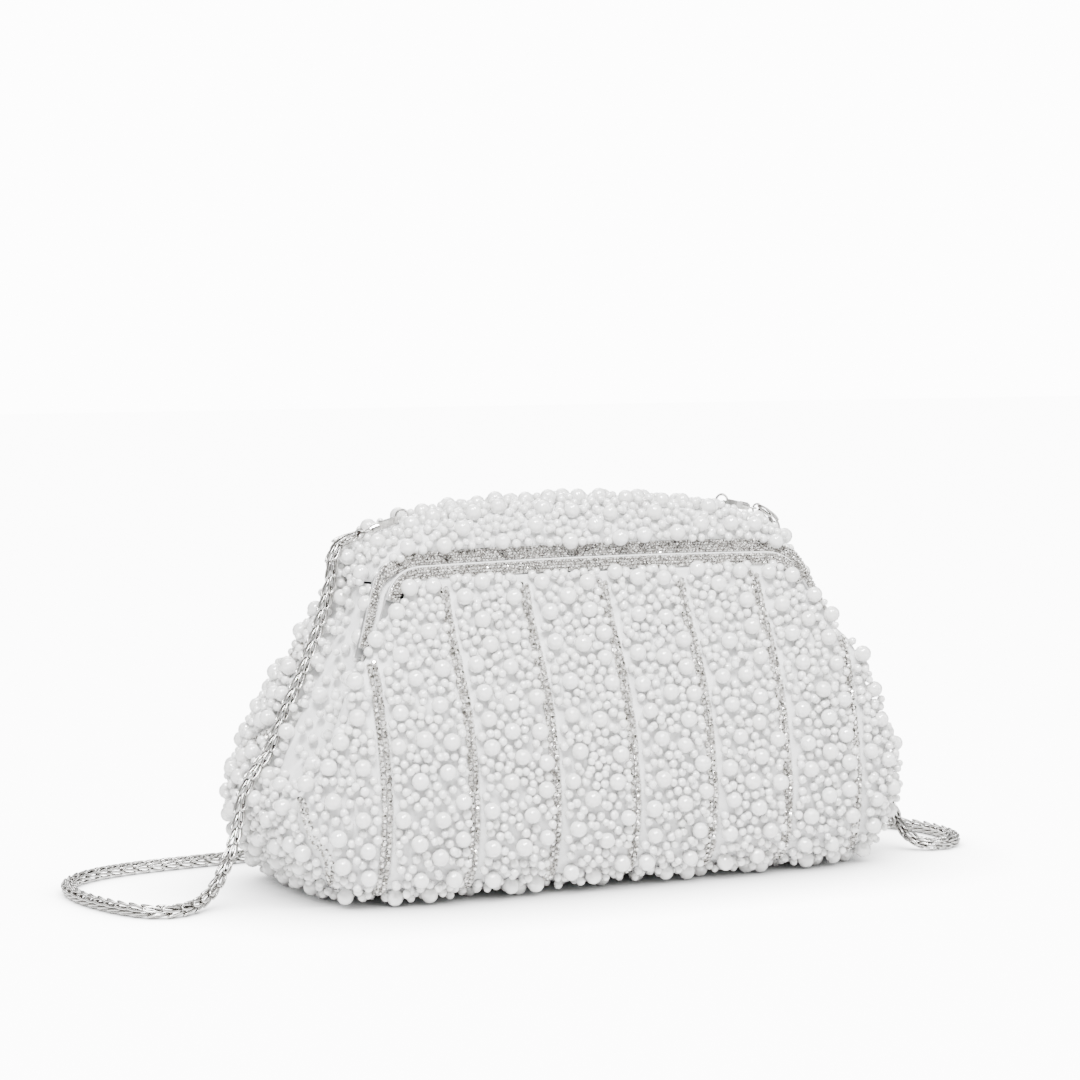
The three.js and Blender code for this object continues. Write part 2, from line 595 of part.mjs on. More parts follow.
/** Middle line of an inverted U, from one leg over the top to the other. */
function archPath(bar, legX, from = 0) {
  const path = new THREE.Path();
  const reach = (q) => THREE.MathUtils.lerp(legX, bar.shoulderX, q / bar.shoulderQ);
  path.moveTo(-reach(from), from);
  path.lineTo(-bar.shoulderX, bar.shoulderQ);
  const lean = (legX - bar.shoulderX) / bar.shoulderQ;
  const cornerX = bar.shoulderX - lean * (bar.topQ - bar.shoulderQ) * 0.8;
  path.quadraticCurveTo(-cornerX, bar.topQ - 1, -bar.topX, bar.topQ);
  path.quadraticCurveTo(0, bar.topQ + bar.arch * 2, bar.topX, bar.topQ);
  path.quadraticCurveTo(cornerX, bar.topQ - 1, bar.shoulderX, bar.shoulderQ);
  path.lineTo(reach(from), from);
  return path.getPoints(7);
}

/**
 * A flat strip along a path, from one distance beside it to another,
 * standing from low to high behind the hinge.
 */
function strip(points, inner, outer, low, high) {
  const side = (beside) =>
    points.map((point, i) => {
      const offset = typeof beside === 'function' ? beside(point.y) : beside;
      const before = points[Math.max(i - 1, 0)];
      const after = points[Math.min(i + 1, points.length - 1)];
      const along = after.clone().sub(before).normalize();
      return new THREE.Vector2(point.x - along.y * offset, point.y + along.x * offset);
    });
  const shape = new THREE.Shape([...side(outer), ...side(inner).reverse()]);
  return new THREE.ExtrudeGeometry(shape, { depth: high - low, bevelEnabled: false }).translate(0, 0, -high);
}

/** A round bar along X, on the hinge line. */
function hingeRound(radius, x0, x1) {
  return new THREE.CylinderGeometry(radius, radius, Math.abs(x1 - x0), 20)
    .rotateZ(Math.PI / 2)
    .translate((x0 + x1) / 2, 0, 0);
}

function frames() {
  const backLegX = FRONT_LEG_X + NEST;
  const frontPath = archPath(FRONT_BAR, FRONT_LEG_X);
  const backPath = archPath(BACK_BAR, backLegX);
  const frontNear = 0.4; // the front bar's back face, in front of the hinge line
  const frontFar = frontNear + FRONT_BAR.thick;
  const facingNear = 0.2; // the back facing's front face
  const backNear = facingNear + FACING + GAP;
  const backFar = backNear + BACK_BAR.thick;

  const lugX = FRONT_LEG_X + 1;
  const backLugX = backLegX - 1.5;
  const pinInner = lugX - LUG_WIDTH / 2 - GAP;
  const pinOuter = backLugX + LUG_WIDTH / 2 + GAP;
  const holes = [-1, 1].flatMap((side) => [
    hingeRound(PIN_RADIUS + GAP, side * (lugX - 8), side * (backLugX + 8)),
    hingeRound(PIN_HEAD + GAP, side * (lugX - 8), side * pinInner),
    hingeRound(PIN_HEAD + GAP, side * pinOuter, side * (backLugX + 8)),
  ]);
  const lugs = (x, room = 0) =>
    [-1, 1].map((side) => {
      const reach = LUG_WIDTH / 2 + room;
      return hingeRound(LUG_RADIUS + room, side * (x - reach), side * (x + reach));
    });

  const magnetQ = FRONT_BAR.topQ;
  const magnetBox = (room, low, high) =>
    box(
      -MAGNET.length / 2 - room, MAGNET.length / 2 + room,
      magnetQ - MAGNET.width / 2 - room, magnetQ + MAGNET.width / 2 + room,
      -high, -low,
    );
  const frontWell = magnetBox(GAP, -frontNear - MAGNET.thick - GAP, 1);
  const backWell = magnetBox(GAP, 0, backNear + MAGNET.thick + GAP);
  const keeperHalf = MAGNET.length / 2 + 3;
  const keeper = box(-keeperHalf, keeperHalf, magnetQ - 5, BACK_BAR.topQ, -backFar, -backNear);

  const half = FRONT_BAR.width / 2;
  const lipTop = half + FRONT_LIP + FRONT_BAR.topQ - BACK_BAR.topQ + 0.5;
  const frontBar = cut(strip(frontPath, -half, half, -frontFar, -frontNear), ...lugs(backLugX, GAP));
  piece('front_frame_bar', cut(join(frontBar, ...lugs(lugX)), ...holes, frontWell), 'steel', frame);
  const backHalf = BACK_BAR.width / 2;
  const backBar = cut(strip(backPath, -backHalf, backHalf, backNear, backFar), ...lugs(lugX, GAP));
  piece('back_frame_bar', cut(join(backBar, keeper, ...lugs(backLugX)), ...holes, backWell), 'steel', frame);
  piece('magnet_front', magnetBox(0, -frontNear - MAGNET.thick, -frontNear), 'steel', frame);
  piece('magnet_back', magnetBox(0, backNear, backNear + MAGNET.thick), 'steel', frame);

  const bandPath = archPath(FRONT_BAR, FRONT_LEG_X, FRONT_BAR.shoulderQ - 1);
  const risen = (q, bar) => THREE.MathUtils.smoothstep(q, bar.shoulderQ, bar.topQ - 1);
  const lip = (q) => half + risen(q, FRONT_BAR) * FRONT_LIP;
  const facing = strip(bandPath, -half, lip, -frontFar - GAP - FACING, -frontFar - GAP);
  piece('front_rim_facing', facing, 'satin', frame);
  const backBandPath = archPath(BACK_BAR, backLegX, LUG_RADIUS + 1.5);
  const besideLip = (q) => THREE.MathUtils.lerp(-0.4, lipTop, risen(q, BACK_BAR));
  const backFacing = strip(backBandPath, (q) => besideLip(q) - 3, backHalf, facingNear, facingNear + FACING);
  piece('back_rim_facing', backFacing, 'satin', frame);

  const bandBack = frontFar + GAP * 2 + FACING;
  const bandHalf = FRONT_BAND_WIDTH / 2;
  const band = strip(bandPath, -bandHalf, bandHalf, -bandBack - BAND_HEIGHT, -bandBack);
  piece('front_rim_band', band, 'rhinestone', frame);
  const outer = (q) => Math.min(besideLip(q) + BACK_BAND_WIDTH, backHalf);
  const backBand = strip(backBandPath, besideLip, outer, facingNear - GAP - BAND_HEIGHT, facingNear - GAP);
  piece('back_rim_band', backBand, 'rhinestone', frame);

  for (const [name, side] of [['left', -1], ['right', 1]]) {
    const head = 0.9;
    const shaft = hingeRound(PIN_RADIUS, side * (pinInner - head), side * (pinOuter + head));
    const innerHead = hingeRound(PIN_HEAD, side * (pinInner - head), side * pinInner);
    const outerHead = hingeRound(PIN_HEAD, side * pinOuter, side * (pinOuter + head));
    piece(`hinge_pin_${name}`, join(shaft, innerHead, outerHead), 'silver', frame);
  }
}

// ---------------------------------------------------------------- strap rings and clasps

/** A closed ring in the XZ plane, or turned to lie in the XY plane. */
function ring(radius, wire, flat, x = 0) {
  const torus = new THREE.TorusGeometry(radius, wire, 8, 20);
  if (!flat) torus.rotateX(Math.PI / 2);
  return torus.translate(x, 0, 0);
}

/** A flat shape in the clasp's plane, as thick as given. */
function slab(outline, thick) {
  const shape = new THREE.Shape(outline.map(([x, y]) => new THREE.Vector2(x, y)));
  return new THREE.ExtrudeGeometry(shape, { depth: thick, bevelEnabled: false }).translate(0, 0, -thick / 2);
}

const upright = (radius, length, x, y) =>
  new THREE.CylinderGeometry(radius, radius, length, 16).rotateX(Math.PI / 2).translate(x, y, 0);
const lengthwise = (radius, x0, x1, sides = 16) =>
  new THREE.CylinderGeometry(radius, radius, x1 - x0, sides)
    .rotateZ(Math.PI / 2)
    .translate((x0 + x1) / 2, 0, 0);

/** A lobster clasp, its bow round a strap ring at the origin, pointing along +X. Its width is along Y. */
function clasp(name, { side, ring: centre, slope }) {
  const halfW = CLASP_WIDTH / 2;
  const wireY = -halfW + 2; // where the ring's wire lies inside the bow, from the clasp's middle line
  const bowX = RING_RADIUS - 2.2;
  const pivot = [CLASP_LENGTH - 3.6, halfW - 1.9];

  const hanger = new THREE.Group();
  hanger.position.set(...centre);
  hanger.rotation.set(0, side < 0 ? Math.PI - slope : slope, 0);
  group.add(hanger);
  const body = new THREE.Group();
  body.position.set(0, -wireY, 0);
  hanger.add(body);

  const outline = [];
  for (let i = 0; i < 24; i += 1) {
    const angle = (i / 24) * Math.PI * 2;
    const taper = Math.cos(angle) > 0 ? 0.55 : 1;
    const reach = (CLASP_LENGTH - bowX) / 2;
    const wide = halfW * (Math.cos(angle) > 0 ? 1 - (1 - taper) * Math.cos(angle) : 1);
    outline.push([bowX + reach + reach * Math.cos(angle), wide * Math.sin(angle)]);
  }
  const barrel = lengthwise(2, CLASP_LENGTH - 2.5, CLASP_LENGTH + 1.6);
  const bore = lengthwise(0.9 + GAP, CLASP_LENGTH - 1, CLASP_LENGTH + 2);
  const inBow = bowX + 1.4;
  const neck = [[inBow, -halfW + 1.3], [9.2, -halfW + 1.3], [9.2, 9], [inBow + 1.2, 9], [inBow, 0.6]];
  const opening = slab(neck, 9);
  const slotEnd = CLASP_LENGTH - 1.6;
  const slot = [[8, halfW - 3.1], [slotEnd, halfW - 3.1], [slotEnd, 9], [8, 9]];
  const leverSlot = slab(slot, LEVER_THICK + GAP * 2);
  const pinHole = upright(0.5 + GAP, 9, ...pivot);
  const hook = cut(join(slab(outline, CLASP_THICK), barrel), bore, opening, leverSlot, pinHole);
  piece(`clasp_hook_${name}`, hook, 'silver', body);

  const lever = slab(
    [
      [bowX + 1.7, halfW - 2.1], [pivot[0] - 1.4, halfW - 2.4], [pivot[0] + 0.9, halfW - 2.7],
      [pivot[0] + 1.4, halfW - 1.2], [pivot[0] + 0.2, halfW + 0.7], [pivot[0] - 1.6, halfW + 0.9],
      [pivot[0] - 2.8, halfW - 0.6], [bowX + 2.6, halfW - 0.9],
    ],
    LEVER_THICK,
  );
  piece(`clasp_lever_${name}`, cut(lever, pinHole), 'silver', body);
  piece(`clasp_pin_${name}`, upright(0.5, CLASP_THICK, ...pivot), 'silver', body);

  const eyeX = CLASP_LENGTH + 4.6;
  const stem = lengthwise(0.9, CLASP_LENGTH - 0.6, eyeX - EYE_RADIUS);
  const collar = lengthwise(1.5, CLASP_LENGTH + 1.9, CLASP_LENGTH + 2.6);
  piece(`swivel_eye_${name}`, join(stem, collar, ring(EYE_RADIUS, 0.55, true, eyeX)), 'silver', body);
  piece(`jump_ring_${name}`, ring(JUMP_RADIUS, 0.5, false, eyeX + 3), 'silver', body);

  const holder = new THREE.Group();
  holder.position.set(...centre);
  group.add(holder);
  piece(`strap_ring_${name}`, ring(RING_RADIUS, RING_WIRE, false), 'silver', holder);
  const tabTop = -RING_RADIUS + RING_WIRE + GAP + 0.3;
  const tab = box(-1.8, 1.8, -2.4, 2.4, -RING_RADIUS - RING_WIRE - 0.2, tabTop);
  piece(`strap_tab_${name}`, cut(tab, ring(RING_RADIUS, RING_WIRE + GAP / 2, false)), 'satin', holder);
}

// ---------------------------------------------------------------- chain

function chain(name, points) {
  const { side } = CLASPS[name];
  const out = Math.max(0, BEAD_LAYER - LAID_OUT.beads) * 1.6 + (CLASP_LENGTH - LAID_OUT.clasp) * 1.2;
  const free = points.length - 2;
  const aside = (i) => (i < free ? side * out : 0);
  const places = points.map(([x, y, z], i) => new THREE.Vector3(x * WIDE + aside(i), y, z));
  const route = new THREE.CatmullRomCurve3(places, false, 'centripetal');
  const section = new THREE.Shape();
  const sides = 10;
  for (let i = 0; i < sides; i += 1) {
    const angle = (i / sides) * Math.PI * 2;
    const at = [(CHAIN_DIAMETER / 2) * Math.cos(angle), (CHAIN_DIAMETER / 2) * Math.sin(angle)];
    if (i === 0) section.moveTo(...at);
    else section.lineTo(...at);
  }
  const count = Math.round(route.getLength() / (CHAIN_DIAMETER * 2.4));
  const tube = new THREE.ExtrudeGeometry(section, { steps: count, extrudePath: route, bevelEnabled: false });
  piece(`chain_${name}`, tube, 'silver');
}

// ---------------------------------------------------------------- the bag

pouch();
endSeams();
gussets();
base();
lining();
frames();
for (const [name, place] of Object.entries(CLASPS)) clasp(name, place);
for (const [name, points] of Object.entries(CHAIN_ROUTES)) chain(name, points);

export default group;
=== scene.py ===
"""A beaded evening bag.

A satin pouch with sewn pearls, rhinestone seams and bands, nested frames, and a wheat chain on two clasps.

Metres in Blender. The outlines below are written in millimetres, as a maker would cut them, and turned to
metres when a mesh is made.
"""

import logging
import math
from dataclasses import dataclass, field
from enum import Enum
from typing import Callable, Sequence

import bpy
import numpy as np
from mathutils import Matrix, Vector

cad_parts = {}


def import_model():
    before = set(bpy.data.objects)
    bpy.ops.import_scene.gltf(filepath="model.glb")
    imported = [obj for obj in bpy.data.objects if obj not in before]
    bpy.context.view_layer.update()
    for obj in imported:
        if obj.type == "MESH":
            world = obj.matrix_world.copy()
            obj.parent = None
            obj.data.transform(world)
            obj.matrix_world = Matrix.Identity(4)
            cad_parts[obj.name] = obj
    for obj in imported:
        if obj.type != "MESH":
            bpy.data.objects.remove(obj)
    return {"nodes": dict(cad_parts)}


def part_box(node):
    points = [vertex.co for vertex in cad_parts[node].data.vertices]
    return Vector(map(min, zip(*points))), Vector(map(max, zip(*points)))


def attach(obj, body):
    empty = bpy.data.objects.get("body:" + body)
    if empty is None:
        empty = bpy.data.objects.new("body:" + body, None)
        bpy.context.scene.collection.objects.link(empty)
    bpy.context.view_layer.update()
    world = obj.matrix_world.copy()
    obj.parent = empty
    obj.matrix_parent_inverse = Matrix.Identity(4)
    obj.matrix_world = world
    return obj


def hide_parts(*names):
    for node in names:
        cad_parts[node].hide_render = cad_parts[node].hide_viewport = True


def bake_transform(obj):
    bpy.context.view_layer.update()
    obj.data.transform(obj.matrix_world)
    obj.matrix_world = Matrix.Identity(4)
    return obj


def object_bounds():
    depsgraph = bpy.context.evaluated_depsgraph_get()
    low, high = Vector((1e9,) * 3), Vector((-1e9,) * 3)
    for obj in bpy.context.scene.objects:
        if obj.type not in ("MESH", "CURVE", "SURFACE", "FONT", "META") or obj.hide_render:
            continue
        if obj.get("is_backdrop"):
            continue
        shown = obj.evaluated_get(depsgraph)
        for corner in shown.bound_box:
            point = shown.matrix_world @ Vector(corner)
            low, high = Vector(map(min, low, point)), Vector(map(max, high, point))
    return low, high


logging.basicConfig(level=logging.INFO, format="%(message)s")
log = logging.getLogger("evening_bag")

MM = 0.001
Rows = Sequence[tuple[float, float]]
Array = np.ndarray


class Side(Enum):
    """Which end of the bag a piece is on."""

    LEFT = -1
    RIGHT = 1


class Cover(Enum):
    """How thickly a stretch of satin is sewn with beads."""

    FULL = "full"
    SPARSE = "sparse"
    UNDER = "under"


# ---------------------------------------------------------------------- shape of the pouch


@dataclass(frozen=True)
class Curve:
    """A smooth curve through given rows of (place, value)."""

    rows: Rows

    def __call__(self, place: Array | float) -> Array:
        """Read the curve.

        Args:
            place: one place or many.

        Returns:
            The value at each place, held level past the ends.
        """
        x, y = np.array(self.rows, float).T
        slope = np.diff(y) / np.diff(x)
        tangent = np.concatenate([[slope[0]], np.zeros(len(x) - 2), [slope[-1]]])
        before, after = slope[:-1], slope[1:]
        same = before * after > 0
        tangent[1:-1][same] = 2 * before[same] * after[same] / (before + after)[same]
        at = np.clip(np.asarray(place, float), x[0], x[-1])
        i = np.clip(np.searchsorted(x, at, side="right") - 1, 0, len(x) - 2)
        width = x[i + 1] - x[i]
        t = (at - x[i]) / width
        rise = y[i + 1] - y[i]
        start, end = tangent[i] * width, tangent[i + 1] * width
        return y[i] + t * (start + t * (3 * rise - 2 * start - end + t * (start + end - 2 * rise)))


def arc(across: Array, power: Array | float) -> Array:
    """The other coordinate of a unit superellipse."""
    inside = np.maximum(0, 1 - np.power(np.minimum(1, np.abs(across)), power))
    return np.power(inside, 1 / np.asarray(power, float))


def smooth(value: Array | float, low: float, high: float) -> Array:
    """Smoothstep from 0 at low to 1 at high."""
    t = np.clip((np.asarray(value, float) - low) / (high - low), 0, 1)
    return t * t * (3 - 2 * t)


def smooth_path(points: Array, steps: int = 6) -> Array:
    """A curve through the route's points.

    Args:
        points: the route.
        steps: pieces between two points.

    Returns:
        Points of the curve.
    """
    ends = np.concatenate([[2 * points[0] - points[1]], points, [2 * points[-1] - points[-2]]])
    t = np.linspace(0, 1, steps, endpoint=False)[:, None]
    out = []
    for a, b, c, d in zip(ends, ends[1:], ends[2:], ends[3:]):
        ab, bc, cd = (max(np.linalg.norm(q - p) ** 0.5, 1e-6) for p, q in ((a, b), (b, c), (c, d)))
        m1 = (c - b) + bc * ((b - a) / ab - (c - a) / (ab + bc))
        m2 = (c - b) + bc * ((d - c) / cd - (d - b) / (bc + cd))
        out.append(b + t * m1 + t**2 * (3 * (c - b) - 2 * m1 - m2) + t**3 * (m1 + m2 - 2 * (c - b)))
    return np.concatenate([*out, points[-1:]])


@dataclass(frozen=True)
class Outline:
    """The satin's shape, in millimetres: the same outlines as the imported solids."""

    width: float = 316.0
    depth: float = 129.4
    rim: float = 142.0
    crown_rise: float = 30.5
    crown_front: float = -26.0
    crown_back: float = 33.0
    skirt: float = 7.5
    seam_pitch: float = 41.0
    crown_reach: float = 0.938
    crown_edge: Curve = Curve(((78, 0.966), (92, 0.97), (102, 0.985), (110, 1)))
    turn: float = 0.84
    turn_x: float = 0.93
    puff: float = 1.6
    widths: Curve = Curve(
        ((0.046, 0.874), (0.085, 0.905), (0.14, 0.945), (0.2, 0.978), (0.28, 1), (0.35, 0.992), (0.42, 0.968),
         (0.56, 0.918), (0.75, 0.829), (0.88, 0.76), (1, 0.709))
    )
    depths: Curve = Curve(
        ((0.046, 0.757), (0.063, 0.86), (0.113, 0.943), (0.169, 0.974), (0.24, 0.996), (0.3, 1), (0.38, 0.974),
         (0.458, 0.943), (0.535, 0.903), (0.61, 0.85), (0.683, 0.785), (0.76, 0.711), (0.835, 0.63),
         (0.915, 0.557), (1, 0.487))
    )
    front_square: Curve = Curve(
        ((0.046, 8), (0.14, 5.6), (0.28, 4.8), (0.42, 5.3), (0.6, 7), (0.76, 16), (1, 18))
    )
    back_square: Curve = Curve(((0.046, 8), (0.14, 5.6), (0.28, 4.6), (0.6, 4.4), (1, 4)))
    crown_square: float = 8.0
    crown_round: float = 2.4
    front_seam: Curve = Curve(
        ((0.05, -37), (0.21, -38.5), (0.35, -39), (0.5, -47), (0.63, -46.5), (0.75, -43.5))
    )
    back_seam: Curve = Curve(
        ((0.05, 37), (0.21, 38), (0.32, 34), (0.42, 20), (0.5, 14), (0.64, 14), (0.79, 16), (1, 4))
    )
    shoulders: Curve = Curve(
        ((0.75, 128.5), (0.79, 123.6), (0.88, 114.6), (0.92, 108.5), (0.94, 103.4), (0.96, 102.5),
         (0.98, 100), (1, 96.5), (1.012, 91))
    )
    front_fold: Curve = Curve(((0.34, 0), (0.41, 8), (0.53, 13), (0.7, 13), (0.79, 9), (1, 4)))
    front_fold_y: float = -30.0
    front_fold_spread: float = 9.0
    back_fold: Curve = Curve(((0.34, 0), (0.41, 5), (0.5, 8.5), (0.7, 6.5), (0.85, 3), (1, 0)))
    back_fold_y: float = -1.5
    back_fold_spread: float = 6.5

    def half_width(self, z: Array) -> Array:
        """Half-width of the satin at a height."""
        return self.width / 2 * self.widths(np.asarray(z) / self.rim)

    def half_depth(self, z: Array) -> Array:
        """Half-depth of the satin at a height."""
        return self.depth / 2 * self.depths(np.asarray(z) / self.rim)

    def side_x(self, y: Array, z: Array) -> Array:
        """Half-width at a place in Y and a height."""
        share = np.asarray(z) / self.rim
        power = np.where(np.asarray(y) < 0, self.front_square(share), self.back_square(share))
        return self.half_width(z) * arc(y / self.half_depth(z), power)

    def front_edge(self, z: Array) -> Array:
        """Half-width at which the front panel ends."""
        share = np.asarray(z) / self.rim
        seamed = np.minimum(self.side_x(self.front_seam(share), z), self.half_width(z) * 0.985)
        return np.where(share >= 0.75, self.shoulders(share), seamed)

    def back_edge(self, z: Array) -> Array:
        """Half-width at which the back panel ends."""
        return self.side_x(self.back_seam(np.asarray(z) / self.rim), z)

    def front_at(self, x: Array, z: Array) -> Array:
        """Points of the front's satin at places in X and heights."""
        x, z = np.broadcast_arrays(np.asarray(x, float), np.asarray(z, float))
        y = -self.half_depth(z) * arc(x / self.half_width(z), self.front_square(z / self.rim))
        return np.stack([x, y, z], -1)

    def back_at(self, x: Array, z: Array) -> Array:
        """Points of the back's satin below the crown, at places in X and heights."""
        x, z = np.broadcast_arrays(np.asarray(x, float), np.asarray(z, float))
        y = self.half_depth(z) * arc(x / self.half_width(z), self.back_square(z / self.rim))
        return np.stack([x, y, z], -1)

    def crown_at(self, x: Array, along: Array) -> Array:
        """Points of the crown: along runs from 0 at the back to 1 at the front."""
        x, along = np.broadcast_arrays(np.asarray(x, float), np.asarray(along, float))
        middle = (self.crown_front + self.crown_back) / 2
        half = (self.crown_back - self.crown_front) / 2
        back_power = float(self.back_square(1.0))
        across = x / self.half_width(self.rim)
        back = middle + half * arc(across, back_power)
        front = middle - half * arc(across, self.crown_square)
        y = back + (front - back) * along
        power = np.where(y > middle, back_power, self.crown_square)
        radial = np.power(np.abs(across) ** power + np.power(np.abs(y - middle) / half, power), 1 / power)
        return np.stack([x, y, self.rim + self.crown_rise * arc(radial, self.crown_round)], -1)

    def back_point(self, across: Array, v: Array) -> Array:
        """Points of the back panel: v climbs the back from 0 to 1 and crosses the crown from 1 to 2.

        Args:
            across: from -1 at the left seam to 1 at the right.
            v: place up and over the back.

        Returns:
            The points, in millimetres.
        """
        across, v = np.broadcast_arrays(np.asarray(across, float), np.asarray(v, float))
        z = self.skirt + (self.rim - self.skirt) * np.minimum(v, 1)
        side, far = np.sign(across), np.abs(across)
        inner = side * np.minimum(far / self.turn, 1) * self.turn_x * self.half_width(z)
        corner = self.back_at(self.turn_x * self.half_width(z), z)[..., 1]
        seam = self.back_seam(z / self.rim) + 0.4
        y = corner + (seam - corner) * np.clip((far - self.turn) / (1 - self.turn), 0, 1)
        x = np.where(far <= self.turn, inner, side * self.side_x(y, z))
        flat = np.where((far <= self.turn)[..., None], self.back_at(inner, z), np.stack([x, y, z], -1))
        over = self.crown_at(x, np.maximum(0, v - 1) * self.crown_edge(np.abs(x)))
        return np.where((v <= 1)[..., None], flat, over)

    def gusset_at(self, y: Array, z: Array) -> Array:
        """Points of the +X gusset's satin, with its two pleats folded in."""
        y, z = np.broadcast_arrays(np.asarray(y, float), np.asarray(z, float))
        share = z / self.rim
        front = self.front_fold(share) * np.exp(-(((y - self.front_fold_y) / self.front_fold_spread) ** 2))
        back = self.back_fold(share) * np.exp(-(((y - self.back_fold_y) / self.back_fold_spread) ** 2))
        return np.stack([self.side_x(y, z) - front - back, y, z], -1)


@dataclass(frozen=True)
class FramePlane:
    """The plane of the mouth's frames, which leans back from the hinge line."""

    y: float = -37.5
    z: float = 110.0
    tilt: float = math.radians(18)

    def at(self, x: Array, q: Array, n: Array | float) -> Array:
        """Points at x, q up the frame and n behind it."""
        x, q, n = np.broadcast_arrays(np.asarray(x, float), np.asarray(q, float), np.asarray(n, float))
        sin, cos = math.sin(self.tilt), math.cos(self.tilt)
        return np.stack([x, self.y + q * sin + n * cos, self.z + q * cos - n * sin], -1)

    def out(self) -> Array:
        """The direction out of the mouth's front."""
        return np.array([0, -math.cos(self.tilt), math.sin(self.tilt)])


@dataclass(frozen=True)
class Arch:
    """An inverted U in the frame's plane."""

    leg_x: float
    shoulder_x: float
    shoulder_q: float
    top_x: float
    top_q: float
    rise: float = 1.2

    def path(self, start: float, steps: int = 16) -> Array:
        """The middle line from the left leg over the top to the right.

        Args:
            start: how far up the legs the line begins.
            steps: points along each curved stretch.

        Returns:
            Rows of (x, q).
        """
        lean = self.leg_x - self.shoulder_x
        reach = self.leg_x - lean * start / self.shoulder_q
        corner = self.shoulder_x - lean / self.shoulder_q * (self.top_q - self.shoulder_q) * 0.8
        shoulder, top = (self.shoulder_x, self.shoulder_q), (self.top_x, self.top_q)
        leg = [(reach, start), shoulder]
        curve = self._bend(shoulder, (corner, self.top_q - 1), top, steps)
        right = np.array([leg[0], *curve])
        middle = self._bend((-top[0], top[1]), (0, self.top_q + 2 * self.rise), top, 4 * steps)
        left = right * [-1, 1]
        return np.concatenate([left, middle[1:-1], right[::-1]])

    @staticmethod
    def _bend(a: tuple, b: tuple, c: tuple, steps: int) -> Array:
        """A quadratic curve from a to c, pulled to b."""
        t = np.linspace(0, 1, steps + 1)[:, None]
        return (1 - t) ** 2 * np.array(a) + 2 * t * (1 - t) * np.array(b) + t**2 * np.array(c)


OUTLINE = Outline()
PLANE = FramePlane()
FRONT_ARCH = Arch(leg_x=118, shoulder_x=107, shoulder_q=25.2, top_x=92, top_q=36.2)
BACK_ARCH = Arch(leg_x=123.5, shoulder_x=112, shoulder_q=29.4, top_x=90, top_q=45.6)


# ---------------------------------------------------------------------- meshes


def new_object(
    name: str, vertices: Array, faces: Sequence[Sequence[int]], flat: bool = False
) -> bpy.types.Object:
    """Make a mesh object at the origin.

    Args:
        name: the piece's name.
        vertices: points in millimetres.
        faces: vertex numbers of each face.
        flat: leave the faces flat instead of smooth.

    Returns:
        The object, linked to the scene.
    """
    mesh = bpy.data.meshes.new(name)
    mesh.from_pydata((np.asarray(vertices, float) * MM).tolist(), [], [list(map(int, f)) for f in faces])
    mesh.update()
    if not flat:
        mesh.shade_smooth()
    piece = bpy.data.objects.new(name, mesh)
    bpy.context.scene.collection.objects.link(piece)
    return piece


def grid_normals(points: Array) -> Array:
    """Unit normals of a grid of points, by differences along its two directions."""
    along_u = np.gradient(points, axis=0)
    along_v = np.gradient(points, axis=1)
    normal = np.cross(along_u, along_v)
    return normal / np.maximum(np.linalg.norm(normal, axis=-1, keepdims=True), 1e-12)


@dataclass
class Cloth:
    """A grid of satin with normals that point out of the bag."""

    points: Array
    normals: Array

    @classmethod
    def from_points(cls, points: Array, outward: Callable[[Array], Array]) -> "Cloth":
        """Measure a grid's normals and turn them outwards.

        Args:
            points: grid of points in millimetres.
            outward: gives a direction out of the bag at each point.

        Returns:
            The cloth.
        """
        normals = grid_normals(points)
        wrong = (normals * outward(points)).sum(-1) < 0
        return cls(points, np.where(wrong[..., None], -normals, normals))

    def raised(self, height: Array | float) -> Array:
        """The grid moved out along its normals."""
        return self.points + self.normals * np.asarray(height)[..., None]

    def thick(self, name: str, low: Array | float, high: Array | float) -> bpy.types.Object:
        """A closed sheet of this shape.

        Args:
            name: the piece's name.
            low: height of the inside face above the grid.
            high: height of the outside face above the grid.

        Returns:
            The sheet, with a UV map in metres across and along it.
        """
        outer, inner = self.raised(high), self.raised(low)
        m, n = outer.shape[:2]
        index = np.arange(m * n).reshape(m, n)
        a, b, c, d = index[:-1, :-1], index[1:, :-1], index[1:, 1:], index[:-1, 1:]
        quads = np.stack([a, b, c, d], -1).reshape(-1, 4)
        back = m * n
        faces = [*quads, *(quads[:, ::-1] + back)]
        ring = np.concatenate([index[:, 0], index[-1, 1:], index[::-1, -1][1:], index[0, ::-1][1:-1]])
        after = np.roll(ring, -1)
        faces += [*np.stack([ring, ring + back, after + back, after], -1)]
        centre = np.cross(outer[1, 0] - outer[0, 0], outer[0, 1] - outer[0, 0])
        if (centre * self.normals[0, 0]).sum() < 0:
            faces = [face[::-1] for face in faces]
        piece = new_object(name, np.concatenate([outer.reshape(-1, 3), inner.reshape(-1, 3)]), faces)
        across = np.cumsum(np.linalg.norm(np.diff(outer, axis=0, prepend=outer[:1]), axis=-1), axis=0)
        along = np.cumsum(np.linalg.norm(np.diff(outer, axis=1, prepend=outer[:, :1]), axis=-1), axis=1)
        flat = np.stack([across, along], -1).reshape(-1, 2) * MM
        layer = piece.data.uv_layers.new(name="cloth")
        corners = np.zeros(len(piece.data.loops), np.int32)
        piece.data.loops.foreach_get("vertex_index", corners)
        layer.data.foreach_set("uv", np.tile(flat, (2, 1))[corners].ravel().astype(np.float32))
        return piece


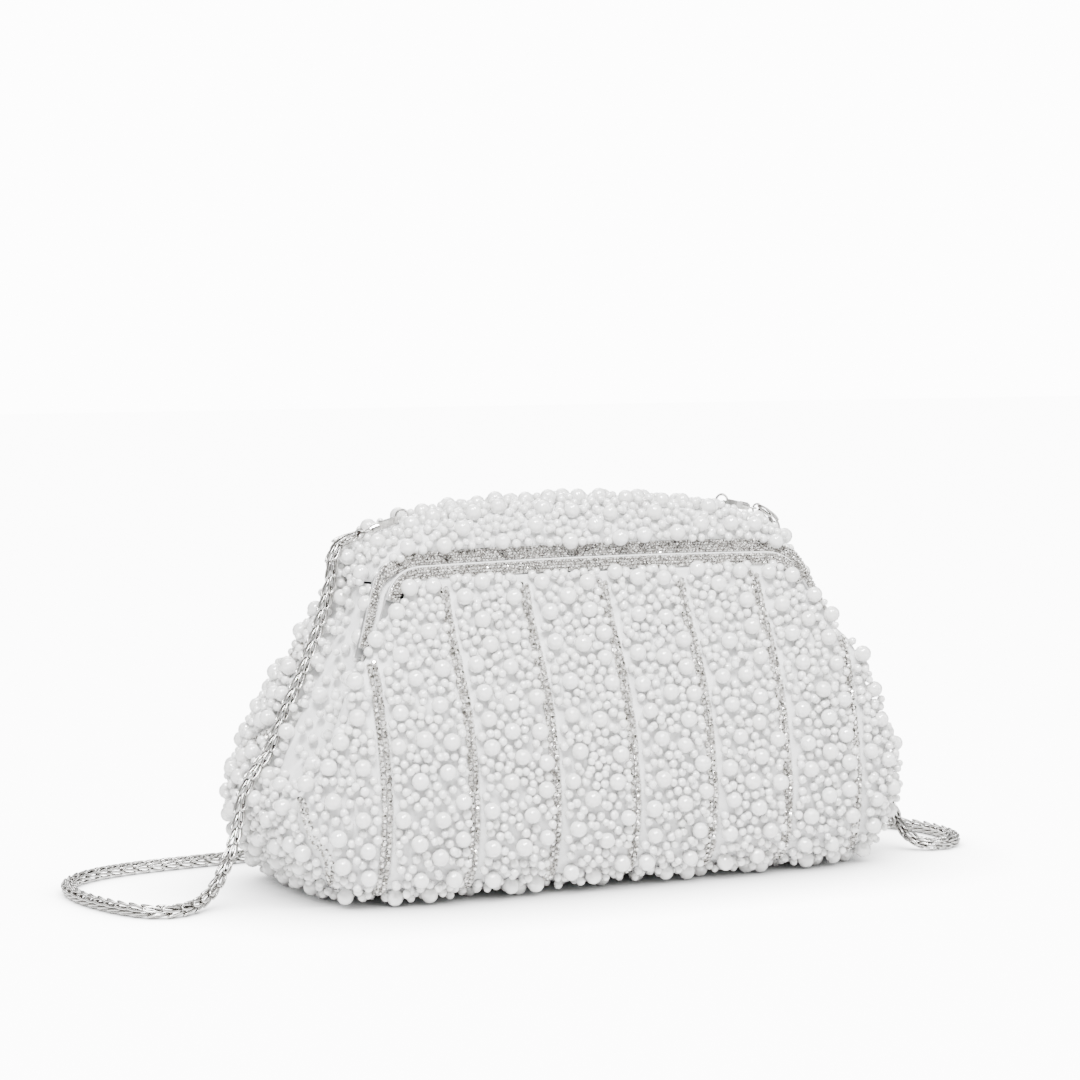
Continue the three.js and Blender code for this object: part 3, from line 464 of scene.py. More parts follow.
class Beads:
    """Throws beads on cloth so that none lies inside another."""

    def __init__(self, seed: int) -> None:
        """Start with no beads.

        Args:
            seed: fixes the throw.
        """
        self.random = np.random.default_rng(seed)
        self.grids: dict[int, tuple[float, dict[tuple[int, int, int], list[tuple[float, float, float]]]]] = {}
        self.places: list[Array] = []
        self.facing: list[Array] = []
        self.radius: list[float] = []
        self.layer: list[int] = []

    def darts(self, cloth: Cloth, per_mm2: float) -> tuple[Array, Array]:
        """Random points of a cloth, evenly by area, with their normals."""
        p, q = cloth.points, cloth.normals
        a, b, c, d = p[:-1, :-1], p[1:, :-1], p[1:, 1:], p[:-1, 1:]
        area = np.linalg.norm(np.cross(c - a, d - b), axis=-1) / 2
        count = int(area.sum() * per_mm2)
        cells = self.random.choice(area.size, count, p=(area / area.sum()).ravel())
        i, j = np.unravel_index(cells, area.shape)
        s, t = self.random.random((2, count, 1))
        near = lambda g: (1 - t) * g[i, j] + t * g[i, j + 1]
        far = lambda g: (1 - t) * g[i + 1, j] + t * g[i + 1, j + 1]
        mix = lambda g: (1 - s) * near(g) + s * far(g)
        normal = mix(q)
        return mix(p), normal / np.linalg.norm(normal, axis=-1, keepdims=True)

    def throw(
        self,
        cloth: Cloth,
        radius: tuple[float, float],
        apart: dict[int, float],
        layer: int,
        lift: float,
        allowed: Callable[[Array, float], Array],
        tries: float,
        thin: Callable[[Array], Array] | None = None,
    ) -> None:
        """Add one size of bead.

        Args:
            cloth: what they are sewn on.
            radius: smallest and largest radius.
            apart: least distance to a bead of each layer.
            layer: number of this layer.
            lift: height of a bead's middle above the cloth, in radii.
            allowed: says which points may take a bead of a given radius.
            tries: darts for each square millimetre.
            thin: gives how much further apart they are at each point.
        """
        points, normals = self.darts(cloth, tries)
        keep = allowed(points, radius[1])
        points, normals = points[keep], normals[keep]
        spread = np.ones(len(points)) if thin is None else thin(points)
        sizes = self.random.uniform(*radius, len(points))
        cell, grid = self.grids.setdefault(layer, (max(apart.values()) * float(spread.max(initial=1)), {}))
        for point, normal, size, wide in zip(points, normals, sizes, spread):
            room = {other: apart[other] * (wide if other == layer else 1) for other in self.grids}
            if all(self._clear(point, other, gap) for other, gap in room.items()):
                key = tuple(int(v // cell) for v in point)
                grid.setdefault(key, []).append(tuple(point))
                self.places.append(point + normal * size * lift)
                self.facing.append(normal)
                self.radius.append(size)
                self.layer.append(layer)

    def _clear(self, point: Array, layer: int, limit: float) -> bool:
        """Whether a point is a distance from every bead of a layer."""
        cell, grid = self.grids[layer]
        x, y, z = point
        i0, j0, k0 = int(x // cell), int(y // cell), int(z // cell)
        for i in (i0, i0 - 1, i0 + 1):
            for j in (j0, j0 - 1, j0 + 1):
                for k in (k0, k0 - 1, k0 + 1):
                    for a, b, c in grid.get((i, j, k), ()):
                        if (a - x) ** 2 + (b - y) ** 2 + (c - z) ** 2 < limit * limit:
                            return False
        return True


# ---------------------------------------------------------------------- geometry nodes


class SettingTree:
    """Sets a small shape on every point of a mesh, turned by the point's own vectors and scaled by its size."""

    def __init__(self) -> None:
        """Build the tree once for every piece that uses it."""
        tree = bpy.data.node_groups.new("Set shapes on points", "GeometryNodeTree")
        face = tree.interface
        face.new_socket("Geometry", in_out="OUTPUT", socket_type="NodeSocketGeometry")
        face.new_socket("Points", in_out="INPUT", socket_type="NodeSocketGeometry")
        self.shape = face.new_socket("Shape", in_out="INPUT", socket_type="NodeSocketObject").identifier
        self.scale = face.new_socket("Scale", in_out="INPUT", socket_type="NodeSocketFloat").identifier
        self.seed = face.new_socket("Seed", in_out="INPUT", socket_type="NodeSocketInt").identifier
        self.material = face.new_socket("Finish", in_out="INPUT", socket_type="NodeSocketMaterial").identifier
        self.tree = tree
        node, link = tree.nodes.new, tree.links.new
        enter, leave = node("NodeGroupInput"), node("NodeGroupOutput")
        info = node("GeometryNodeObjectInfo")
        info.transform_space = "ORIGINAL"
        link(enter.outputs["Shape"], info.inputs["Object"])
        read = {}
        for name, kind in (("facing", "FLOAT_VECTOR"), ("along", "FLOAT_VECTOR"), ("size", "FLOAT")):
            read[name] = node("GeometryNodeInputNamedAttribute")
            read[name].data_type = kind
            read[name].inputs["Name"].default_value = name
        turn = node("FunctionNodeAxesToRotation")
        turn.primary_axis, turn.secondary_axis = "Z", "X"
        link(read["facing"].outputs["Attribute"], turn.inputs["Primary Axis"])
        link(read["along"].outputs["Attribute"], turn.inputs["Secondary Axis"])
        grow = node("ShaderNodeMath")
        grow.operation = "MULTIPLY"
        link(read["size"].outputs["Attribute"], grow.inputs[0])
        link(enter.outputs["Scale"], grow.inputs[1])
        place = node("GeometryNodeInstanceOnPoints")
        link(enter.outputs["Points"], place.inputs["Points"])
        link(info.outputs["Geometry"], place.inputs["Instance"])
        link(turn.outputs["Rotation"], place.inputs["Rotation"])
        link(grow.outputs[0], place.inputs["Scale"])
        tone = node("FunctionNodeRandomValue")
        tone.data_type = "FLOAT"
        link(enter.outputs["Seed"], tone.inputs["Seed"])
        store = node("GeometryNodeStoreNamedAttribute")
        store.data_type, store.domain = "FLOAT", "INSTANCE"
        store.inputs["Name"].default_value = "tone"
        link(place.outputs["Instances"], store.inputs["Geometry"])
        link(tone.outputs[1], store.inputs["Value"])
        real, dress = node("GeometryNodeRealizeInstances"), node("GeometryNodeSetMaterial")
        link(store.outputs["Geometry"], real.inputs["Geometry"])
        link(real.outputs["Geometry"], dress.inputs["Geometry"])
        link(enter.outputs["Finish"], dress.inputs["Material"])
        link(dress.outputs["Geometry"], leave.inputs["Geometry"])

    def build(
        self,
        name: str,
        shape: bpy.types.Object,
        places: Array,
        facing: Array,
        along: Array,
        size: Array | float,
        finish: bpy.types.Material,
        seed: int,
    ) -> bpy.types.Object:
        """Set the shape on points and return one plain mesh.

        Args:
            name: the piece's name.
            shape: what is set on each point, its own up along Z.
            places: points in millimetres.
            facing: each point's up.
            along: each point's direction across it.
            size: scale of each shape.
            finish: the material.
            seed: fixes the tones.

        Returns:
            The finished piece.
        """
        places = np.asarray(places, float).reshape(-1, 3)
        base = new_object(name + "_points", places, [])
        for label, kind, values in (
            ("facing", "FLOAT_VECTOR", np.broadcast_to(facing, places.shape)),
            ("along", "FLOAT_VECTOR", np.broadcast_to(along, places.shape)),
            ("size", "FLOAT", np.broadcast_to(size, len(places))),
        ):
            attribute = base.data.attributes.new(label, kind, "POINT")
            key = "vector" if kind == "FLOAT_VECTOR" else "value"
            attribute.data.foreach_set(key, np.ascontiguousarray(values, np.float32).ravel())
        modifier = base.modifiers.new("set", "NODES")
        modifier.node_group = self.tree
        modifier[self.shape] = shape
        modifier[self.scale] = 1.0
        modifier[self.seed] = seed
        modifier[self.material] = finish
        return evaluated(base, name, finish)


class ChainTree:
    """Sets links along a curve, each a quarter turn on from the last."""

    def __init__(self) -> None:
        """Build the tree."""
        tree = bpy.data.node_groups.new("Links along a curve", "GeometryNodeTree")
        face = tree.interface
        face.new_socket("Geometry", in_out="OUTPUT", socket_type="NodeSocketGeometry")
        face.new_socket("Curve", in_out="INPUT", socket_type="NodeSocketGeometry")
        self.link = face.new_socket("Link", in_out="INPUT", socket_type="NodeSocketObject").identifier
        self.pitch = face.new_socket("Pitch", in_out="INPUT", socket_type="NodeSocketFloat").identifier
        self.turn = face.new_socket("Quarter turn", in_out="INPUT", socket_type="NodeSocketFloat").identifier
        self.material = face.new_socket("Finish", in_out="INPUT", socket_type="NodeSocketMaterial").identifier
        self.tree = tree
        node, link = tree.nodes.new, tree.links.new
        enter, leave = node("NodeGroupInput"), node("NodeGroupOutput")
        info = node("GeometryNodeObjectInfo")
        info.transform_space = "ORIGINAL"
        link(enter.outputs["Link"], info.inputs["Object"])
        wire = node("GeometryNodeMeshToCurve")
        link(enter.outputs["Curve"], wire.inputs["Mesh"])
        spaced = node("GeometryNodeCurveToPoints")
        spaced.mode = "LENGTH"
        link(wire.outputs["Curve"], spaced.inputs["Curve"])
        link(enter.outputs["Pitch"], spaced.inputs["Length"])
        place = node("GeometryNodeInstanceOnPoints")
        link(spaced.outputs["Points"], place.inputs["Points"])
        link(info.outputs["Geometry"], place.inputs["Instance"])
        link(spaced.outputs["Rotation"], place.inputs["Rotation"])
        number = node("GeometryNodeInputIndex")
        angle = node("ShaderNodeMath")
        angle.operation = "MULTIPLY"
        link(number.outputs[0], angle.inputs[0])
        link(enter.outputs["Quarter turn"], angle.inputs[1])
        vector = node("ShaderNodeCombineXYZ")
        link(angle.outputs[0], vector.inputs["Z"])
        spin = node("GeometryNodeRotateInstances")
        link(place.outputs["Instances"], spin.inputs["Instances"])
        link(vector.outputs[0], spin.inputs["Rotation"])
        spin.inputs["Local Space"].default_value = True
        real, dress = node("GeometryNodeRealizeInstances"), node("GeometryNodeSetMaterial")
        link(spin.outputs["Instances"], real.inputs["Geometry"])
        link(real.outputs["Geometry"], dress.inputs["Geometry"])
        link(enter.outputs["Finish"], dress.inputs["Material"])
        link(dress.outputs["Geometry"], leave.inputs["Geometry"])

    def build(
        self, name: str, link: bpy.types.Object, path: Array, pitch: float, finish: bpy.types.Material
    ) -> bpy.types.Object:
        """Set links along a path and return one plain mesh.

        Args:
            name: the piece's name.
            link: one link, its run along Z.
            path: points of the middle line, in millimetres.
            pitch: distance between links, in millimetres.
            finish: the material.

        Returns:
            The finished piece.
        """
        mesh = bpy.data.meshes.new(name + "_path")
        mesh.from_pydata((path * MM).tolist(), [(i, i + 1) for i in range(len(path) - 1)], [])
        base = bpy.data.objects.new(name + "_path", mesh)
        bpy.context.scene.collection.objects.link(base)
        modifier = base.modifiers.new("links", "NODES")
        modifier.node_group = self.tree
        modifier[self.link] = link
        modifier[self.pitch] = pitch * MM
        modifier[self.turn] = math.pi / 2
        modifier[self.material] = finish
        return evaluated(base, name, finish)


def evaluated(base: bpy.types.Object, name: str, finish: bpy.types.Material) -> bpy.types.Object:
    """Turn an object's modifiers into a plain mesh and drop the object.

    Args:
        base: the object with its modifier.
        name: the new piece's name.
        finish: its material.

    Returns:
        The new piece, at the origin.
    """
    graph = bpy.context.evaluated_depsgraph_get()
    mesh = bpy.data.meshes.new_from_object(base.evaluated_get(graph), depsgraph=graph)
    mesh.name = name
    mesh.materials.clear()
    mesh.materials.append(finish)
    bpy.data.objects.remove(base)
    piece = bpy.data.objects.new(name, mesh)
    bpy.context.scene.collection.objects.link(piece)
    return piece


def tool_shape(name: str, vertices: Array, faces: Sequence[Sequence[int]], flat: bool) -> bpy.types.Object:
    """A shape that trees read and that isn't a piece itself."""
    shape = new_object(name, vertices, faces, flat)
    bpy.context.scene.collection.objects.unlink(shape)
    return shape


def ball(name: str, segments: int, rings: int) -> bpy.types.Object:
    """A ball of unit radius, in millimetres."""
    vertices = [(0, 0, 1)]
    for ring in range(1, rings):
        tilt = math.pi * ring / rings
        for step in range(segments):
            turn = 2 * math.pi * (step + 0.5 * (ring % 2)) / segments
            flat = math.sin(tilt)
            vertices.append((flat * math.cos(turn), flat * math.sin(turn), math.cos(tilt)))
    vertices.append((0, 0, -1))
    faces = [(0, 1 + s, 1 + (s + 1) % segments) for s in range(segments)]
    for ring in range(rings - 2):
        a, b = 1 + ring * segments, 1 + (ring + 1) * segments
        faces += [(a + s, b + s, b + (s + 1) % segments, a + (s + 1) % segments) for s in range(segments)]
    last, pole = 1 + (rings - 2) * segments, len(vertices) - 1
    faces += [(last + s, pole, last + (s + 1) % segments) for s in range(segments)]
    return tool_shape(name, np.array(vertices), faces, flat=False)


def cut_stone(
    name: str, sides: int, girdle: float, table: float, crown: float, cup: float
) -> bpy.types.Object:
    """A cut stone standing in its cup.

    Args:
        name: the shape's name.
        sides: facets round it.
        girdle: its radius.
        table: radius of its flat top.
        crown: height of its crown.
        cup: depth of the cup under it.

    Returns:
        The shape, with a number for each facet and a mark on the cup's faces.
    """
    turns = [2 * math.pi * (s + 0.5) / sides for s in range(sides)]
    levels = [(table, crown), (girdle, 0.0), (girdle * 1.12, -0.12), (girdle * 1.05, -cup)]
    vertices = [(r * math.cos(t), r * math.sin(t), z) for r, z in levels for t in turns]
    faces: list[tuple[int, ...]] = [tuple(range(sides))]
    for level in range(3):
        a, b = level * sides, (level + 1) * sides
        faces += [(a + s, b + s, b + (s + 1) % sides, a + (s + 1) % sides) for s in range(sides)]
    faces.append(tuple(range(4 * sides - 1, 3 * sides - 1, -1)))
    shape = tool_shape(name, np.array(vertices), faces, flat=True)
    facet = shape.data.attributes.new("facet", "FLOAT", "FACE")
    facet.data.foreach_set("value", np.arange(len(faces), dtype=np.float32))
    mark = shape.data.attributes.new("cup", "FLOAT", "FACE")
    mark.data.foreach_set("value", np.array([float(i > sides) for i in range(len(faces))], np.float32))
    return shape


# ---------------------------------------------------------------------- finishes


@dataclass
class Wire:
    """A shader socket or a number, with the operators of arithmetic."""

    nodes: bpy.types.Nodes
    links: bpy.types.NodeLinks
    end: bpy.types.NodeSocket | float

    def join(self, target: bpy.types.NodeSocket) -> None:
        """Feed a socket from this one, or set it to this number."""
        if isinstance(self.end, bpy.types.NodeSocket):
            self.links.new(self.end, target)
        else:
            target.default_value = self.end

    def _math(self, operation: str, first: "Wire | float", second: "Wire | float") -> "Wire":
        """One Math node on two values."""
        node = self.nodes.new("ShaderNodeMath")
        node.operation = operation
        for socket, value in zip(node.inputs, (first, second)):
            (value if isinstance(value, Wire) else Wire(self.nodes, self.links, float(value))).join(socket)
        return Wire(self.nodes, self.links, node.outputs[0])

    def __add__(self, other: "Wire | float") -> "Wire":
        """Sum."""
        return self._math("ADD", self, other)

    def __radd__(self, other: float) -> "Wire":
        """Sum, number first."""
        return self._math("ADD", other, self)

    def __sub__(self, other: "Wire | float") -> "Wire":
        """Difference."""
        return self._math("SUBTRACT", self, other)

    def __rsub__(self, other: float) -> "Wire":
        """Difference, number first."""
        return self._math("SUBTRACT", other, self)

    def __mul__(self, other: "Wire | float") -> "Wire":
        """Product."""
        return self._math("MULTIPLY", self, other)

    def __rmul__(self, other: float) -> "Wire":
        """Product, number first."""
        return self._math("MULTIPLY", other, self)

    def __pow__(self, other: "Wire | float") -> "Wire":
        """Power."""
        return self._math("POWER", self, other)


class Recipe:
    """A material being built."""

    def __init__(self, name: str) -> None:
        """Start with a Principled shader and an output."""
        self.material = bpy.data.materials.new(name)
        self.material.use_nodes = True
        tree = self.material.node_tree
        self.nodes, self.links = tree.nodes, tree.links
        self.nodes.clear()
        self.shader = self.nodes.new("ShaderNodeBsdfPrincipled")
        output = self.nodes.new("ShaderNodeOutputMaterial")
        self.links.new(self.shader.outputs[0], output.inputs["Surface"])

    def node(self, kind: str, settings: dict | None = None, out: int | str = 0, **sockets: object) -> Wire:
        """Add a node.

        Args:
            kind: its type.
            settings: attributes set before its sockets.
            out: which output is wanted.
            sockets: values or wires for its inputs, by name with _ for a space.

        Returns:
            The wanted output.
        """
        node = self.nodes.new(kind)
        for key, value in (settings or {}).items():
            setattr(node, key, value)
        for key, value in sockets.items():
            socket = node.inputs[key.replace("_", " ")]
            if isinstance(value, Wire):
                value.join(socket)
            else:
                socket.default_value = value
        return Wire(self.nodes, self.links, node.outputs[out])

    def ramp(
        self, factor: Wire, stops: Sequence[tuple[float, tuple[float, float, float]]], steps: bool = False
    ) -> Wire:
        """A colour ramp.

        Args:
            factor: what drives it.
            stops: places and colours.
            steps: hold each colour up to the next.

        Returns:
            The colour.
        """
        node = self.nodes.new("ShaderNodeValToRGB")
        node.color_ramp.interpolation = "CONSTANT" if steps else "LINEAR"
        elements = node.color_ramp.elements
        while len(elements) < len(stops):
            elements.new(0.5)
        for element, (place, colour) in zip(elements, stops):
            element.position = place
            element.color = (*colour, 1)
        factor.join(node.inputs[0])
        return Wire(self.nodes, self.links, node.outputs[0])

    def mix(self, factor: Wire | float, first: object, second: object, blend: str = "MIX") -> Wire:
        """Mix two colours, each a wire or three numbers."""
        node = self.nodes.new("ShaderNodeMix")
        node.data_type, node.blend_type = "RGBA", blend
        for socket, value in ((node.inputs[0], factor), (node.inputs[6], first), (node.inputs[7], second)):
            if isinstance(value, Wire):
                value.join(socket)
            else:
                socket.default_value = (*value, 1) if isinstance(value, tuple) else value
        return Wire(self.nodes, self.links, node.outputs[2])

    def attribute(self, name: str, out: str = "Fac") -> Wire:
        """Read a mesh attribute."""
        return self.node("ShaderNodeAttribute", {"attribute_name": name}, out)

    def place(self, out: str = "Object") -> Wire:
        """Texture coordinates."""
        return self.node("ShaderNodeTexCoord", out=out)

    def bump(self, height: Wire, strength: float, distance: float) -> None:
        """Raise the surface by a height."""
        bumped = self.node("ShaderNodeBump", out=0, Height=height, Strength=strength, Distance=distance)
        self.set("Normal", bumped)

    def set(self, socket: str, value: object) -> "Recipe":
        """Set one of the shader's sockets to a wire or a constant."""
        target = self.shader.inputs[socket]
        if isinstance(value, Wire):
            value.join(target)
        elif isinstance(value, tuple):
            target.default_value = (*value, 1)
        else:
            target.default_value = value
        return self


@dataclass(frozen=True)
class Pearl:
    """White imitation pearl: a milky ball under a clear gloss."""

    colour: tuple[float, float, float] = (0.84, 0.84, 0.835)
    warm: tuple[float, float, float] = (0.79, 0.78, 0.76)
    roughness: float = 0.17
    coat: float = 1.0

    def make(self) -> bpy.types.Material:
        """Build the material."""
        r = Recipe("Pearl")
        tone = r.attribute("tone")
        noise = r.node("ShaderNodeTexNoise", out="Fac", Vector=r.place(), Scale=420.0, Detail=1.0)
        r.set("Base Color", r.mix(tone * 0.7 + noise * 0.3, self.colour, self.warm))
        r.set("Roughness", self.roughness + tone * 0.1)
        r.set("Coat Weight", self.coat).set("Coat Roughness", 0.05).set("Coat IOR", 1.7)
        r.set("Specular IOR Level", 1.0)
        r.set("Subsurface Weight", 0.12).set("Subsurface Radius", Vector((0.002, 0.002, 0.002)))
        r.set("Subsurface Scale", 1.0)
        return r.material


@dataclass(frozen=True)
class Satin:
    """White satin with fine threads along the cloth."""

    colour: tuple[float, float, float] = (0.8, 0.8, 0.8)
    thread: float = 0.00035
    roughness: float = 0.42

    def make(self, name: str = "Satin") -> bpy.types.Material:
        """Build the material."""
        r = Recipe(name)
        across = r.node("ShaderNodeMapping", Vector=r.place("UV"), Scale=(1 / self.thread, 60.0, 1.0))
        threads = r.node("ShaderNodeTexNoise", out="Fac", Vector=across, Scale=1.0, Detail=2.0)
        broad = r.node("ShaderNodeTexNoise", out="Fac", Vector=r.place(), Scale=70.0, Detail=2.0)
        shade = tuple(c * 0.8 for c in self.colour)
        light = tuple(min(1, c * 1.12) for c in self.colour)
        r.set("Base Color", r.mix(threads * 0.6 + broad * 0.4, shade, light))
        r.set("Roughness", self.roughness + threads * 0.2)
        r.set("Sheen Weight", 0.3).set("Sheen Roughness", 0.4)
        r.bump(threads + broad * 0.6, 0.5, 0.0003)
        return r.material


@dataclass(frozen=True)
class SolidSatin(Satin):
    """The same satin where a piece has no map of its own."""

    def make(self, name: str = "Satin facing") -> bpy.types.Material:
        """Build the material."""
        r = Recipe(name)
        scaled = r.node("ShaderNodeMapping", Vector=r.place(), Scale=(300.0, 2400.0, 2400.0))
        threads = r.node("ShaderNodeTexNoise", out="Fac", Vector=scaled, Scale=1.0, Detail=2.0)
        r.set("Base Color", r.mix(threads, tuple(c * 0.85 for c in self.colour), self.colour))
        r.set("Roughness", self.roughness + threads * 0.2).set("Sheen Weight", 0.3)
        r.bump(threads, 0.4, 0.0003)
        return r.material


@dataclass(frozen=True)
class Rhinestone:
    """Clear stones in silver cups: each facet's colour is a painted glint or a painted dark reflection, picked at
    random.
    """

    roughness: float = 0.12

    def make(self) -> bpy.types.Material:
        """Build the material."""
        r = Recipe("Rhinestone")
        pair = r.node("ShaderNodeCombineXYZ", X=r.attribute("facet"), Y=r.attribute("tone") * 613.0)
        chance = r.node("ShaderNodeTexWhiteNoise", {"noise_dimensions": "2D"}, "Value", Vector=pair)
        # Painted highlights and reflections: each facet of each stone gets a random grey, from near black to white,
        # as its base colour.
        facets = r.ramp(
            chance,
            (
                (0.0, (0.05, 0.046, 0.04)),
                (0.12, (0.2, 0.19, 0.175)),
                (0.3, (0.42, 0.405, 0.385)),
                (0.5, (0.7, 0.69, 0.67)),
                (0.68, (0.95, 0.945, 0.93)),
            ),
            steps=True,
        )
        cup = r.mix(r.attribute("tone"), (0.5, 0.48, 0.46), (0.72, 0.7, 0.68))
        r.set("Base Color", r.mix(r.attribute("cup"), facets, cup))
        r.set("Metallic", 0.55 + r.attribute("cup") * 0.4)
        r.set("Roughness", self.roughness + r.attribute("cup") * 0.15)
        return r.material


@dataclass(frozen=True)
class Silver:
    """Bright plating, with painted shade where the links lie close about the chain's middle."""

    colour: tuple[float, float, float] = (0.68, 0.67, 0.65)
    # Colour of the painted shade in the chain's hollows.
    deep: tuple[float, float, float] = (0.08, 0.07, 0.065)
    roughness: float = 0.16

    def make(self, name: str, with_recess_shade: bool) -> bpy.types.Material:
        """Build the material.

        Args:
            name: its name.
            with_recess_shade: the piece carries a mask for the painted shade in the chain's hollows.

        Returns:
            The material.
        """
        r = Recipe(name)
        wear = r.node("ShaderNodeTexNoise", out="Fac", Vector=r.place(), Scale=260.0, Detail=3.0)
        bright = r.mix(wear, tuple(c * 0.88 for c in self.colour), self.colour)
        # Painted shade: the silver goes near black where the mask marks the hollows between links.
        r.set("Base Color", r.mix(r.attribute("deep"), bright, self.deep) if with_recess_shade else bright)
        r.set("Metallic", 1.0)
        r.set("Roughness", self.roughness + wear * 0.14)
        return r.material


@dataclass(frozen=True)
class Woven:
    """Plain woven lining."""

    colour: tuple[float, float, float] = (0.74, 0.73, 0.71)
    thread: float = 0.0006

    def make(self) -> bpy.types.Material:
        """Build the material."""
        r = Recipe("Lining")
        weave = r.node("ShaderNodeTexChecker", out="Fac", Vector=r.place(), Scale=1 / self.thread)
        slub = r.node("ShaderNodeTexNoise", out="Fac", Vector=r.place(), Scale=900.0, Detail=2.0)
        shade = tuple(c * 0.85 for c in self.colour)
        r.set("Base Color", r.mix(weave * 0.5 + slub * 0.5, shade, self.colour))
        r.set("Roughness", 0.8 + slub * 0.1)
        r.bump(weave + slub, 0.4, 0.0002)
        return r.material


@dataclass(frozen=True)
class Steel:
    """Plain sheet steel of the frame."""

    colour: tuple[float, float, float] = (0.5, 0.5, 0.5)

    def make(self) -> bpy.types.Material:
        """Build the material."""
        r = Recipe("Frame steel")
        brushed = r.node("ShaderNodeMapping", Vector=r.place(), Scale=(60.0, 2600.0, 2600.0))
        grain = r.node("ShaderNodeTexNoise", out="Fac", Vector=brushed, Scale=1.0, Detail=2.0)
        r.set("Base Color", r.mix(grain, tuple(c * 0.8 for c in self.colour), self.colour))
        r.set("Metallic", 1.0)
        r.set("Roughness", 0.35 + grain * 0.15)
        return r.material


@dataclass(frozen=True)
class Board:
    """Fibre board that stiffens the base."""

    colour: tuple[float, float, float] = (0.5, 0.45, 0.37)

    def make(self) -> bpy.types.Material:
        """Build the material."""
        r = Recipe("Fibre board")
        fibre = r.node("ShaderNodeTexNoise", out="Fac", Vector=r.place(), Scale=600.0, Detail=4.0)
        r.set("Base Color", r.mix(fibre, tuple(c * 0.7 for c in self.colour), self.colour))
        r.set("Roughness", 0.9)
        r.bump(fibre, 0.3, 0.0003)
        return r.material


class Finishes:
    """The bag's materials, each made once."""

    def __init__(self) -> None:
        """Make them all."""
        self.pearl = Pearl().make()
        self.satin = Satin().make()
        self.facing = SolidSatin().make()
        self.rhinestone = Rhinestone().make()
        self.chain = Silver().make("Chain silver", with_recess_shade=True)
        self.silver = Silver().make("Clasp silver", with_recess_shade=False)
        self.lining = Woven().make()
        self.steel = Steel().make()
        self.board = Board().make()


# ---------------------------------------------------------------------- pieces


def blended(piece: bpy.types.Object) -> bpy.types.Object:
    """Bake a piece of the front's placement into its mesh."""
    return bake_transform(piece)


def puffed(x: Array, pitch: float, amount: float) -> Array:
    """Height of the satin between two seams, level with them at the seams."""
    place = np.abs((np.asarray(x) / pitch + 0.5) % 1 - 0.5) * 2
    return amount * (1 - (1 - place) ** 3)


